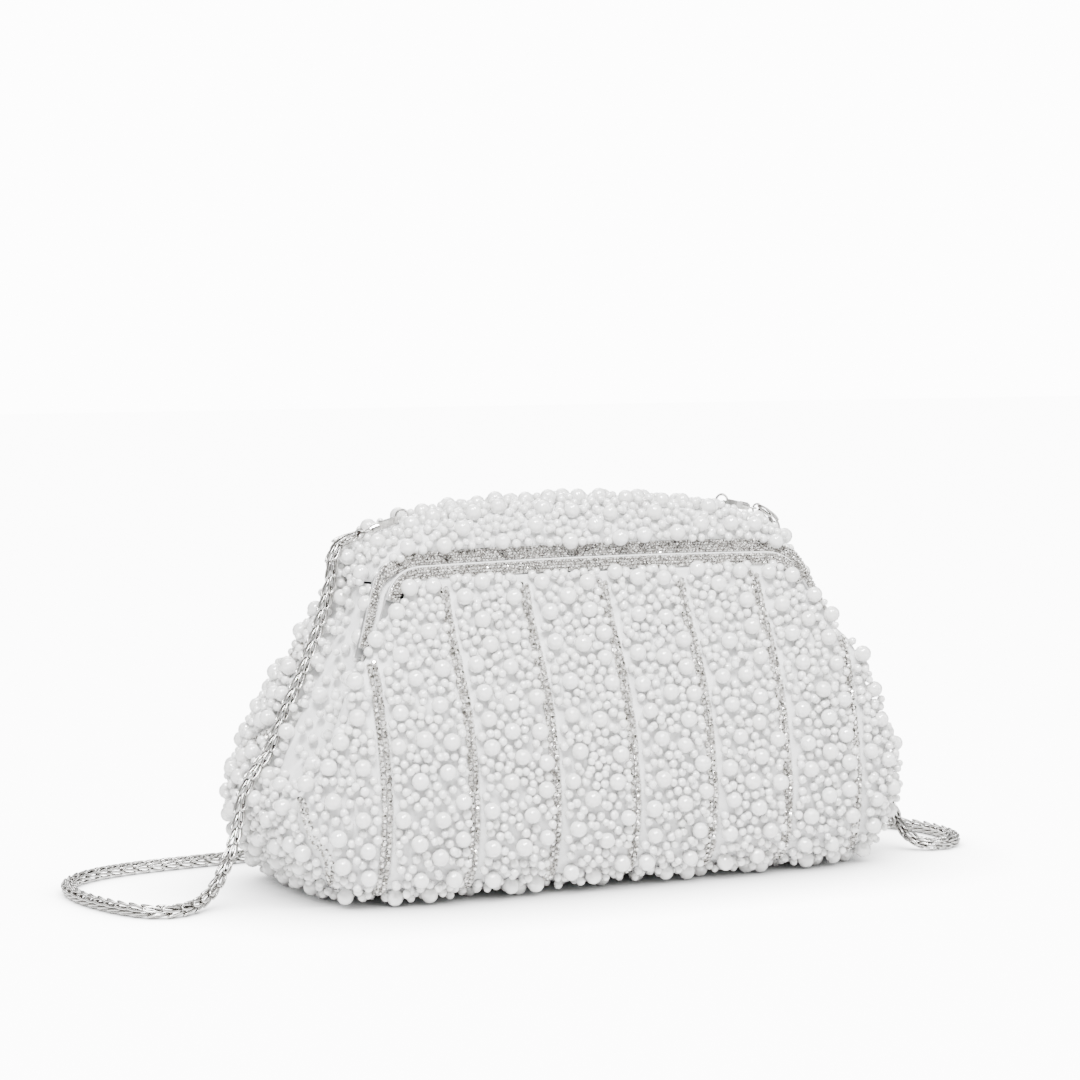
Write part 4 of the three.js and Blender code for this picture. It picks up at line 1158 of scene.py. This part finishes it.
@dataclass
class Strap:
    """The wheat chain, in two lengths that meet behind the bag."""

    finishes: Finishes
    tree: ChainTree
    diameter: float = 6.0
    wire: float = 0.56
    pitch: float = 1.9
    loop: tuple[float, float] = (9.8, 3.3)
    inset: float = 0.75
    splay: float = math.radians(10.5)
    routes: dict[Side, tuple[tuple[float, float, float], ...]] = field(
        default_factory=lambda: {
            Side.LEFT: (
                (-110.4, 1.7, 161.4), (-116.7, 1.7, 158.6), (-120.6, 1.6, 152), (-121.5, 1.4, 143),
                (-124, 1.2, 134), (-127, 0.8, 124.5), (-131, 0.2, 114.5), (-135, -0.4, 105), (-139.6, -0.8, 95.5),
                (-144.8, -1, 85.5), (-149, -1, 75.5), (-154, -0.8, 65.5), (-161.8, -0.8, 55.5),
                (-166.8, -1.2, 45.5), (-169, -2.4, 36), (-172.6, -4.6, 26.5), (-178, -8, 17.2),
                (-184.6, -12.6, 9.4), (-193, -19, 4.8), (-202, -26, 3.3), (-211.5, -30, 3.2), (-221, -26.4, 3.2),
                (-228.4, -14, 3.2), (-233.6, 4, 3.2), (-235.8, 24, 3.2), (-233.4, 44, 3.2), (-224.6, 61, 3.2),
                (-209.6, 73, 3.2), (-190, 80.4, 3.2), (-166, 84, 3.2), (-140, 86.4, 3.2), (-112, 89, 3.2),
                (-84, 92, 3.2), (-56, 94, 3.2), (-28, 95, 3.2), (-0.15, 95.4, 3.2),
            ),
            Side.RIGHT: (
                (111, 5.7, 166.2), (115.6, 6.2, 162.6), (119.4, 6.8, 155), (122.4, 7, 146), (125.6, 6.8, 136),
                (130.2, 6.2, 126), (135.6, 5.4, 115.5), (141.4, 4.4, 105), (147.4, 3.2, 94.5), (153, 1.8, 84),
                (157.8, 0.2, 73.5), (161.6, -1.6, 63.5), (165.2, -3.8, 54), (167.6, -6.4, 45), (169.4, -9.4, 36.5),
                (170.8, -13, 28), (171.8, -17.6, 19.6), (172.6, -23.8, 11.8), (174.4, -31, 6), (179.4, -37, 3.5),
                (188, -39.2, 3.2), (197.6, -34, 3.2), (204.4, -22.4, 3.2), (207.8, -6, 3.2), (206.6, 11, 3.2),
                (200.2, 27, 3.2), (190, 42.6, 3.2), (177, 57.6, 3.2), (161, 71, 3.2), (142, 81, 3.2), (120, 87, 3.2),
                (96, 90, 3.2), (72, 91.6, 3.2), (48, 93, 3.2), (24, 94.6, 3.2), (0.15, 95.4, 3.2),
            ),
        }
    )

    def build(self) -> None:
        link = self.link()
        for side, route in self.routes.items():
            name = side.name.lower()
            path = smooth_path(np.array(route, float))
            chain = self.tree.build(f"wheat_chain_{name}", link, path, self.pitch, self.finishes.chain)
            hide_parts(f"chain_{name}")
            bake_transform(chain)

    def link(self) -> bpy.types.Object:
        """One long loop of wire, leaning out from the chain's middle line at its far end."""
        length, width = self.loop
        around, section = 16, 6
        vertices, deep = [], []
        for i in range(around):
            turn = 2 * math.pi * i / around
            z = math.cos(turn) * (length / 2 - self.wire)
            y = math.sin(turn) * (width / 2 - self.wire) * (1 + 0.25 * math.cos(turn))
            run = np.array([0, math.cos(turn) * width / 2, -math.sin(turn) * length / 2])
            run /= np.linalg.norm(run)
            out = np.array([1.0, 0, 0])
            side = np.cross(run, out)
            lean = (z + length / 2) * math.tan(self.splay) + self.inset
            bow = 0.4 * math.sin(math.pi * (z + length / 2) / length)
            for k in range(section):
                angle = 2 * math.pi * k / section
                round_wire = math.cos(angle) * out + math.sin(angle) * side
                point = np.array([lean + bow, y, z]) + self.wire * round_wire
                vertices.append(point)
                # Painted shade mask: 1 near the chain's axis, where the links crowd together and shade falls,
                # falling to 0 on the outside.
                deep.append(1 - float(smooth(math.hypot(point[0], point[1]), 1.1, 2.6)))
        faces = []
        for i in range(around):
            j = (i + 1) % around
            for k in range(section):
                m = (k + 1) % section
                faces.append((i * section + k, i * section + m, j * section + m, j * section + k))
        link = tool_shape("chain link", np.array(vertices), faces, flat=False)
        attribute = link.data.attributes.new("deep", "FLOAT", "POINT")
        attribute.data.foreach_set("value", np.array(deep, np.float32))
        return link


@dataclass
class Pouch:
    """The satin: front, back with its crown, two gussets, base and front lining."""

    finishes: Finishes
    outline: Outline = OUTLINE
    cloth: float = 1.2
    front_top: float = 143.6
    base_z: float = 6.6

    def build(self) -> dict[str, Cloth]:
        """Make the satin pieces.

        Returns:
            The cloths that beads are sewn on, by name.
        """
        cloths = {"front": self.front(), "back": self.back()}
        for side in Side:
            cloths[f"gusset_{side.name.lower()}"] = self.gusset(side)
        cloths["base"] = self.base()
        for name, cloth in cloths.items():
            node = {"front": "front_panel", "back": "back_panel", "base": "base_panel"}.get(name, name)
            piece = cloth.thick(f"satin_{name}", -self.cloth, 0.0)
            piece.data.materials.append(self.finishes.satin)
            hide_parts(node)
            if name in ("back", "base"):
                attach(piece, "root")
            else:
                blended(piece)
            log.info("satin_%s: %d faces", name, len(piece.data.polygons))
        self.lining()
        return cloths

    def front(self) -> Cloth:
        """The front panel's satin."""
        o = self.outline
        z = np.concatenate([np.linspace(o.skirt, 40, 20), np.linspace(42, self.front_top, 56)])
        across = np.linspace(-1, 1, 133)
        x = across[:, None] * (o.front_edge(z) - 0.4)[None, :]
        cloth = Cloth.from_points(o.front_at(x, z[None, :]), lambda p: np.broadcast_to([0, -1.0, 0], p.shape))
        fade = smooth(z, o.skirt, 20) * (1 - smooth(z, 134, self.front_top))
        return Cloth.from_points(
            cloth.raised(puffed(x, o.seam_pitch, o.puff) * fade), lambda p: np.broadcast_to([0, -1.0, 0], p.shape)
        )

    def back(self) -> Cloth:
        """The back panel's satin, up over the crown to the mouth."""
        o = self.outline
        v = np.concatenate([np.linspace(0, 0.25, 22), np.linspace(0.262, 1, 60), np.linspace(1.02, 2, 44)])
        left, middle, right = (
            np.linspace(-1, -0.845, 16), np.linspace(-0.84, 0.84, 113), np.linspace(0.845, 1, 16),
        )
        across = np.concatenate([left, middle, right])
        points = o.back_point(across[:, None], v[None, :])
        out = lambda p: np.stack([p[..., 0] * 0.3, p[..., 1], (p[..., 2] - 85) * 0.5], -1)
        cloth = Cloth.from_points(points, out)
        fade = smooth(v, 0, 0.1) * (1 - smooth(v, 0.95, 1.18)) * (np.abs(across) < 0.86)[:, None]
        return Cloth.from_points(cloth.raised(puffed(points[..., 0], o.seam_pitch, o.puff) * fade), out)

    def gusset(self, side: Side) -> Cloth:
        """One end of the pouch, folded in along its pleats."""
        o = self.outline
        z = np.concatenate([np.linspace(o.skirt, 44, 26), np.linspace(45.5, 141, 62)])
        share = z / o.rim
        seam = o.front_seam(share)
        behind = PLANE.y + (z - PLANE.z) * math.tan(PLANE.tilt) + 4.7 / math.cos(PLANE.tilt)
        front = np.where(z > 98, seam + (behind - seam) * smooth(z, 99, 107), seam) - 0.5
        back = o.back_seam(share) - 0.4
        t = np.linspace(0, 1, 54)[:, None]
        points = o.gusset_at(front + (back - front) * t, z[None, :])
        crease = 2.2 * np.exp(-(((z - 52) / 3.5) ** 2)) * np.sin(np.pi * np.clip(t, 0, 1)) ** 0.5
        ripple = 0.5 * np.sin(z / 6.5 + 5 * t) * smooth(z, 56, 70)
        points[..., 0] += ripple - crease
        points[..., 0] *= side.value
        return Cloth.from_points(points, lambda p: np.broadcast_to([float(side.value), 0, 0], p.shape))

    def base(self) -> Cloth:
        """The flat satin under the pouch."""
        o = self.outline
        inset = 0.6
        t = np.linspace(-1, 1, 60)
        z = o.skirt
        y = t * (float(o.half_depth(z)) - inset)
        half = np.minimum(o.side_x(y * 0.999, np.full_like(y, z)), float(o.half_width(z))) - inset
        s = np.linspace(-1, 1, 120)
        x = s[:, None] * np.maximum(half, 100)[None, :]
        points = np.stack([x, np.broadcast_to(y, x.shape), np.full(x.shape, self.base_z)], -1)
        return Cloth.from_points(points, lambda p: np.broadcast_to([0, 0, -1.0], p.shape))

    def lining(self) -> None:
        """The front's lining, just inside the front's satin."""
        o = self.outline
        z = np.linspace(14.5, 103, 30)
        x = np.linspace(-0.87, 0.87, 40)[:, None] * o.front_edge(z)[None, :]
        cloth = Cloth.from_points(o.front_at(x, z[None, :]), lambda p: np.broadcast_to([0, -1.0, 0], p.shape))
        piece = cloth.thick("lining_of_front", -self.cloth - 1.1, -self.cloth - 0.3)
        piece.data.materials.append(self.finishes.lining)
        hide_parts("lining_front")
        blended(piece)


@dataclass
class Seams:
    """Double rows of rhinestones in cups along the seams."""

    finishes: Finishes
    tree: SettingTree
    outline: Outline = OUTLINE
    pitch: float = 2.45
    stone: float = 1.24
    rows: float = 1.32
    bed: float = 0.5
    count: int = 7
    ends: dict[str, tuple[tuple[float, float], ...]] = field(
        default_factory=lambda: {
            "corner": ((-40, 10), (-45, 18), (-47.5, 25), (-44.5, 33), (-42.5, 43), (-38, 51)),
            "end_low": ((42, 60), (24, 66.5), (6.5, 73)),
            "end_high": ((28, 102), (20, 107.5), (11, 113)),
        }
    )

    def build(self, cloths: dict[str, Cloth]) -> dict[str, list[Array]]:
        """Make every seam's stones.

        Args:
            cloths: the satin; not used.

        Returns:
            The seams' middle lines on each cloth, which beads keep clear of.
        """
        stone = cut_stone("cup chain stone", 7, self.stone, self.stone * 0.56, 0.62, 0.8)
        lines: dict[str, list[Array]] = {"front": [], "back": [], "gusset_left": [], "gusset_right": []}
        for number in range(self.count):
            x = (number - self.count // 2) * self.outline.seam_pitch
            for name, path in (("front", self.front_line(x)), ("back", self.back_line(x))):
                points, normals = path
                lines[name].append(points)
                piece = self.chain(f"stones_{name}_{number + 1}", points, normals, stone, 31 * number + 7)
                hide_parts(f"seam_chain_{name}_{number + 1}")
                blended(piece) if name == "front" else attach(piece, "root")
        for side in Side:
            for number, (name, route) in enumerate(self.ends.items()):
                label = side.name.lower()
                points, normals = self.end_line(smooth_path(np.array(route, float)), side)
                for cloth in (f"gusset_{label}", "front" if name == "corner" else "back"):
                    lines[cloth].append(points)
                seed = 401 + 7 * number + side.value
                piece = self.chain(f"stones_{name}_{label}", points, normals, stone, seed)
                node = "corner_chain" if name == "corner" else f"end_chain_{name[4:]}"
                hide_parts(f"{node}_{label}")
                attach(piece, "root")
        log.info("seams: %d front, %d back", len(lines["front"]), len(lines["back"]))
        return lines

    def front_line(self, x: float) -> tuple[Array, Array]:
        """A front seam's middle line and normals, from the skirt up."""
        o = self.outline
        z = np.linspace(o.skirt - 0.6, 140.6, 200)
        z = z[o.front_edge(z) > abs(x) + 2.9]
        return self.line(lambda offset: o.front_at(x + offset, z), np.array([0, -1.0, 0]))

    def back_line(self, x: float) -> tuple[Array, Array]:
        """A back seam's middle line and normals, from the skirt to the crown's back edge."""
        o = self.outline
        v = np.linspace(-0.004, 1.18, 260)
        z = o.skirt + (o.rim - o.skirt) * np.minimum(v, 1)
        ends = o.back_edge(z) > abs(x) + 5.6
        if not ends.all():
            v = v[: int(np.argmin(ends))]
        z = o.skirt + (o.rim - o.skirt) * np.minimum(v, 1)

        def points(offset: float) -> Array:
            """The line moved across by an offset."""
            low = o.back_at(x + offset, z)
            high = o.crown_at(x + offset, np.maximum(0, v - 1) * o.crown_reach)
            return np.where((v <= 1)[:, None], low, high)

        return self.line(points, np.array([0, 1.0, 0.2]))

    def end_line(self, route: Array, side: Side) -> tuple[Array, Array]:
        """A short seam's middle line and normals, from its (y, z) route on one end."""
        run = np.gradient(route, axis=0)
        run /= np.linalg.norm(run, axis=1, keepdims=True)

        def points(offset: float) -> Array:
            """The line moved across by an offset."""
            at = self.outline.gusset_at(route[:, 0] - run[:, 1] * offset, route[:, 1] + run[:, 0] * offset)
            return at * [side.value, 1, 1]

        return self.line(points, np.array([float(side.value), 0, 0]))

    @staticmethod
    def line(points: Callable[[float], Array], out: Array) -> tuple[Array, Array]:
        """Middle line and normals of a seam.

        Args:
            points: gives the line moved across by an offset.
            out: a direction that normals agree with.

        Returns:
            Points and unit normals.
        """
        middle = points(0.0)
        across = points(0.6) - points(-0.6)
        along = np.gradient(middle, axis=0)
        normal = np.cross(along, across)
        normal /= np.linalg.norm(normal, axis=1, keepdims=True)
        normal[(normal * out).sum(1) < 0] *= -1
        return middle, normal

    def chain(
        self, name: str, points: Array, normals: Array, stone: bpy.types.Object, seed: int
    ) -> bpy.types.Object:
        """Two rows of stones along a line, one half a pitch ahead of the other.

        Args:
            name: the piece's name.
            points: middle line.
            normals: its normals.
            stone: the shape.
            seed: fixes small turns.

        Returns:
            The piece.
        """
        random = np.random.default_rng(seed)
        run = np.concatenate([[0], np.cumsum(np.linalg.norm(np.diff(points, axis=0), axis=1))])
        places, facing, along = [], [], []
        for row in (-1, 1):
            at = np.arange(0.8 + 0.25 * (row + 1) * self.pitch, run[-1] - 0.8, self.pitch)
            at = at + random.normal(0, 0.12, len(at))
            p = np.stack([np.interp(at, run, points[:, k]) for k in range(3)], -1)
            n = np.stack([np.interp(at, run, normals[:, k]) for k in range(3)], -1)
            t = np.stack([np.interp(at, run, np.gradient(points[:, k], run)) for k in range(3)], -1)
            side = np.cross(n, t)
            side /= np.linalg.norm(side, axis=1, keepdims=True)
            wander = 0.35 * np.sin(at / 17 + seed) + random.normal(0, 0.08, len(at))
            places.append(p + side * (row * self.rows + wander[:, None]) + n * (self.bed + 0.9))
            facing.append(n + random.normal(0, 0.12, n.shape))
            along.append(t + random.normal(0, 0.2, t.shape))
        return self.tree.build(
            name, stone, np.concatenate(places), np.concatenate(facing), np.concatenate(along), 1.0,
            self.finishes.rhinestone, seed,
        )


@dataclass
class Mouth:
    """The rhinestone bands along the two frames."""

    finishes: Finishes
    tree: SettingTree
    pitch: float = 1.5
    stone: float = 0.74
    front_width: float = 5.7
    back_width: float = 6.6
    front_place: float = -5.3
    back_place: float = -1.2
    bar_half: float = 2.8
    lip: float = 1.0

    def build(self) -> None:
        """Make both bands."""
        stone = cut_stone("band stone", 5, self.stone, self.stone * 0.5, 0.5, 0.5)
        front = FRONT_ARCH.path(FRONT_ARCH.shoulder_q - 1)
        back = BACK_ARCH.path(4.0)
        half = self.front_width / 2
        below, above = lambda q: np.full_like(q, -half), lambda q: np.full_like(q, half)
        self.band("front_band_stones", front, below, above, self.front_place, stone, 3)
        lip_top = self.bar_half + self.lip + FRONT_ARCH.top_q - BACK_ARCH.top_q + 0.5
        inner = lambda q: -0.4 + (lip_top + 0.4) * smooth(q, BACK_ARCH.shoulder_q, BACK_ARCH.top_q - 1)
        outer = lambda q: np.minimum(inner(q) + self.back_width, 3.0)
        self.band("back_band_stones", back, inner, outer, self.back_place, stone, 4)

    def band(
        self,
        name: str,
        path: Array,
        inner: Callable[[Array], Array],
        outer: Callable[[Array], Array],
        n: float,
        stone: bpy.types.Object,
        seed: int,
    ) -> None:
        """Rows of small stones on a strip beside a path, over a thin backing.

        Args:
            name: the piece's name.
            path: the frame's middle line, as (x, q).
            inner: offset of the strip's inner edge at each q.
            outer: offset of its outer edge.
            n: place of the stones' girdles behind the hinge plane.
            stone: the shape.
            seed: fixes small turns.
        """
        random = np.random.default_rng(seed)
        tangent = np.gradient(path, axis=0)
        tangent /= np.linalg.norm(tangent, axis=1, keepdims=True)
        side = np.stack([-tangent[:, 1], tangent[:, 0]], -1)
        run = np.concatenate([[0], np.cumsum(np.linalg.norm(np.diff(path, axis=0), axis=1))])
        low, high = inner(path[:, 1]), outer(path[:, 1])
        body = "front_frame" if name.startswith("front") else "root"
        node = "front_rim_band" if body == "front_frame" else "back_rim_band"
        places = []
        rows = int((high - low).max() / (self.pitch * 0.86))
        for row in range(rows):
            at = np.arange(0.4 + (row % 2) * self.pitch / 2, run[-1] - 0.4, self.pitch)
            at = at + random.normal(0, 0.1, len(at))
            share = (row + 0.5) / rows
            wide = np.interp(at, run, high - low)
            keep = (wide > (high - low).max() * 0.93) | (row % 2 == 0)
            at = at[keep]
            offset = np.interp(at, run, low + (high - low) * share) + random.normal(0, 0.07, len(at))
            x = np.interp(at, run, path[:, 0]) + np.interp(at, run, side[:, 0]) * offset
            q = np.interp(at, run, path[:, 1]) + np.interp(at, run, side[:, 1]) * offset
            places.append(PLANE.at(x, q, n))
        points = np.concatenate(places)
        facing = PLANE.out() + random.normal(0, 0.16, points.shape)
        along = np.array([1.0, 0, 0]) + random.normal(0, 0.5, points.shape)
        stones = self.tree.build(name, stone, points, facing, along, 1.0, self.finishes.rhinestone, seed)
        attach(stones, body)
        edge = lambda offset: path + side * offset[:, None]
        u = np.linspace(0, 1, 5)
        strip = np.stack([edge(low + (high - low) * s) for s in u], 0)
        behind = PLANE.at(strip[..., 0], strip[..., 1], n + 0.9)
        cloth = Cloth.from_points(behind, lambda p: np.broadcast_to(PLANE.out(), p.shape))
        backing = cloth.thick(name.replace("stones", "braid"), -0.3, 0.3)
        backing.data.materials.append(self.finishes.silver)
        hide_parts(node)
        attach(backing, body)
        log.info("%s: %d stones in %d rows", name, len(points), rows)


@dataclass
class Beading:
    """Two sizes of pearl, sewn close all over and loosely on the folded ends."""

    finishes: Finishes
    tree: SettingTree
    small: tuple[float, float] = (2.05, 2.35)
    large: tuple[float, float] = (3.7, 4.1)
    clear: float = 3.0

    def build(self, cloths: dict[str, Cloth], lines: dict[str, list[Array]]) -> None:
        """Throw and set the pearls.

        Args:
            cloths: the satin, by name.
            lines: seams that pearls keep clear of, by cloth.
        """
        big, little = ball("large pearl", 12, 7), ball("small pearl", 8, 5)
        covers = {"front": Cover.FULL, "back": Cover.FULL, "base": Cover.UNDER}
        for seed, (name, cloth) in enumerate(cloths.items()):
            beads = Beads(seed=100 + seed)
            self.sew(beads, cloth, covers.get(name, Cover.SPARSE), lines.get(name, []))
            places, facing = np.array(beads.places), np.array(beads.facing)
            radius, layer = np.array(beads.radius), np.array(beads.layer)
            places[:, 2] = np.maximum(places[:, 2], radius + 0.1)
            self.set_pearls(f"pearls_{name}_large", big, places, facing, radius, layer == 0, name, seed)
            self.set_pearls(f"pearls_{name}_small", little, places, facing, radius, layer > 0, name, seed + 50)

    def sew(self, beads: Beads, cloth: Cloth, cover: Cover, lines: list[Array]) -> None:
        """Throw every layer of one cloth's pearls."""
        line = np.concatenate(lines) if lines else np.zeros((0, 3))

        def allowed(points: Array, radius: float) -> Array:
            """Whether points are clear of the seams and the clasps."""
            keep = np.ones(len(points), bool)
            for chunk in np.array_split(np.arange(len(points)), max(1, len(points) // 4000)):
                if len(line):
                    gap = np.linalg.norm(points[chunk, None] - line[None, ::3], axis=-1).min(1)
                    keep[chunk] &= gap > self.clear + radius * 0.85
            return keep & self.off_clasps(points, radius)

        thin = None
        if cover is Cover.SPARSE:
            thin = self.on_gusset
        if cover is Cover.UNDER:
            thin = lambda p: np.full(len(p), 1.5)
        beads.throw(cloth, self.large, {0: 11.8}, 0, 0.9, allowed, 0.6, thin)
        beads.throw(cloth, self.small, {0: 5.9, 1: 4.2}, 1, 0.9, allowed, 5.0, thin)
        if cover is not Cover.UNDER:
            beads.throw(cloth, (1.75, 2.15), {0: 5.8, 1: 2.7, 2: 5.6}, 2, 2.1, allowed, 1.0, thin)

    @staticmethod
    def on_gusset(points: Array) -> Array:
        """How much further apart beads are on a folded end.

        They are close low down, behind the folds and beside the frame.
        """
        y, z = points[:, 1], points[:, 2]
        beside = PLANE.y + (z - PLANE.z) * math.tan(PLANE.tilt) + 6
        by_frame = (np.abs(y - beside) < 3) * smooth(z, 104, 108)
        folded = smooth(z, 50, 60) * (1 - smooth(y, 3, 11)) * (1 - by_frame)
        return 1 + 0.75 * folded

    @staticmethod
    def off_clasps(points: Array, radius: float) -> Array:
        """Whether points are clear of where a clasp lies."""
        keep = np.ones(len(points), bool)
        for side in Side:
            for part in ("strap_ring", "clasp_hook", "swivel_eye", "jump_ring"):
                low, high = (np.array(c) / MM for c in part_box(f"{part}_{side.name.lower()}"))
                near = np.clip(points, low, high)
                keep &= np.linalg.norm(points - near, axis=1) > radius * 2.1
        return keep

    def set_pearls(
        self,
        name: str,
        shape: bpy.types.Object,
        places: Array,
        facing: Array,
        radius: Array,
        chosen: Array,
        cloth: str,
        seed: int,
    ) -> None:
        """Set one size of pearl on one cloth."""
        random = np.random.default_rng(seed)
        along = random.normal(size=(int(chosen.sum()), 3))
        piece = self.tree.build(
            name, shape, places[chosen], facing[chosen], along, radius[chosen], self.finishes.pearl, seed
        )
        piece.data.shade_smooth()
        if cloth in ("back", "base"):
            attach(piece, "root")
        else:
            blended(piece)
        log.info("%s: %d pearls", name, int(chosen.sum()))


@dataclass
class Hardware:
    """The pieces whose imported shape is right: frames, facings, clasps, lining and board."""

    finishes: Finishes

    def dress(self) -> None:
        """Give each one its material."""
        f = self.finishes
        for name, node in FRAME["nodes"].items():
            if name.startswith(("clasp_", "swivel_", "jump_", "strap_ring", "hinge_pin")):
                self.paint(node, f.silver)
            elif name.startswith(("front_frame", "back_frame", "magnet")):
                self.paint(node, f.steel)
            elif name.startswith(("front_rim_facing", "back_rim_facing", "strap_tab")):
                self.paint(node, f.facing)
            elif name.startswith(("lining", "slip")):
                self.paint(node, f.lining)
            elif name == "base_board":
                self.paint(node, f.board)

    @staticmethod
    def paint(node: bpy.types.Object, finish: bpy.types.Material) -> None:
        """Put one material in an object's slots."""
        if not node.material_slots:
            node.data.materials.append(finish)
        for slot in node.material_slots:
            slot.material = finish


@dataclass
class Studio:
    """Floor, light and camera."""

    azimuth: float = math.radians(-28)
    down: float = math.radians(4.2)
    distance: float = 1.54
    aim: tuple[float, float, float] = (-0.015, 0.0, 0.1564)
    lens: float = 109.7
    ambient: float = 0.55
    backdrop: float = 13.0
    floor_glow: float = 0.9
    floor_half: float = 6000.0
    panels: dict[str, tuple[tuple[float, float, float], float, float]] = field(
        default_factory=lambda: {
            "key": ((-0.75, -0.95, 1.6), 0.55, 100),
            "second": ((0.1, -0.9, 1.7), 0.3, 40),
            "fill": ((1.6, -0.9, 1.0), 1.0, 16),
            "behind": ((0.2, 1.2, 1.5), 0.9, 30),
        }
    )

    def build(self) -> None:
        """Make the studio."""
        self.camera()
        far = self.floor_half
        square = [(-far, -far, 0), (far, -far, 0), (far, far, 0), (-far, far, 0)]
        floor = new_object("floor", np.array(square), [(0, 1, 2, 3)])
        floor.data.materials.append(self.paper())
        floor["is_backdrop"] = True
        self.surroundings()
        for name, (place, size, watts) in self.panels.items():
            self.panel(name, place, size, watts)

    def paper(self) -> bpy.types.Material:
        """White paper that runs into the backdrop, with a painted soft shadow under whatever stands on it: camera
        rays see a glow darkened by ambient occlusion.
        """
        r = Recipe("Studio paper")
        r.set("Base Color", (0.9, 0.9, 0.9)).set("Roughness", 0.9)
        # Painted contact shadow: the glow the camera sees is dimmed by ambient occlusion near the bag and chain.
        near = r.node("ShaderNodeAmbientOcclusion", {"samples": 12}, "AO", Distance=0.07)
        glow = r.nodes.new("ShaderNodeEmission")
        (near**1.6 * self.backdrop).join(glow.inputs["Strength"])
        path, mix = r.nodes.new("ShaderNodeLightPath"), r.nodes.new("ShaderNodeMixShader")
        (Wire(r.nodes, r.links, path.outputs["Is Camera Ray"]) * self.floor_glow).join(mix.inputs[0])
        r.links.new(r.shader.outputs[0], mix.inputs[1])
        r.links.new(glow.outputs[0], mix.inputs[2])
        r.links.new(mix.outputs[0], r.nodes["Material Output"].inputs["Surface"])
        return r.material

    def surroundings(self) -> None:
        """A pale world, brighter as a backdrop than as a light."""
        world = bpy.data.worlds.new("studio")
        world.use_nodes = True
        nodes, links = world.node_tree.nodes, world.node_tree.links
        light = nodes["Background"]
        light.inputs[1].default_value = self.ambient
        seen = nodes.new("ShaderNodeBackground")
        seen.inputs[0].default_value = (1, 1, 1, 1)
        seen.inputs[1].default_value = self.backdrop
        path, mix = nodes.new("ShaderNodeLightPath"), nodes.new("ShaderNodeMixShader")
        links.new(path.outputs["Is Camera Ray"], mix.inputs[0])
        links.new(light.outputs[0], mix.inputs[1])
        links.new(seen.outputs[0], mix.inputs[2])
        light.inputs[0].default_value = (1, 1, 1, 1)
        links.new(mix.outputs[0], nodes["World Output"].inputs["Surface"])
        bpy.context.scene.world = world

    def camera(self) -> None:
        """Make the camera."""
        data = bpy.data.cameras.new("camera")
        data.lens, data.sensor_width = self.lens, 36
        camera = bpy.data.objects.new("camera", data)
        back = Vector(
            (
                math.sin(self.azimuth) * math.cos(self.down),
                -math.cos(self.azimuth) * math.cos(self.down),
                math.sin(self.down),
            )
        )
        camera.location = Vector(self.aim) + back * self.distance
        camera.rotation_euler = back.to_track_quat("Z", "Y").to_euler()
        bpy.context.scene.collection.objects.link(camera)
        bpy.context.scene.camera = camera

    @staticmethod
    def panel(name: str, place: tuple[float, float, float], size: float, watts: float) -> None:
        """A soft light that looks at the bag."""
        data = bpy.data.lights.new(name, "AREA")
        data.size, data.energy = size, watts
        light = bpy.data.objects.new(name, data)
        light.location = place
        light.rotation_euler = (Vector(place) - Vector((0, 0, 0.08))).to_track_quat("Z", "Y").to_euler()
        bpy.context.scene.collection.objects.link(light)


def corners(bounds: Sequence) -> list[list[float]]:
    """A box's corners as plain numbers."""
    return [[float(v) for v in corner] for corner in bounds]


def main() -> None:
    """Build the scene: camera and chain first, then the pouch and all that is sewn on it."""
    packed = corners(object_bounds())
    Studio().build()
    finishes = Finishes()
    setting = SettingTree()
    Strap(finishes, ChainTree()).build()
    cloths = Pouch(finishes).build()
    lines = Seams(finishes, setting).build(cloths)
    Mouth(finishes, setting).build()
    Beading(finishes, setting).build(cloths, lines)
    Hardware(finishes).dress()
    {"cad": packed, "visual": corners(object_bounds())}


if __name__ == "__main__":
    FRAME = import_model()
    main()
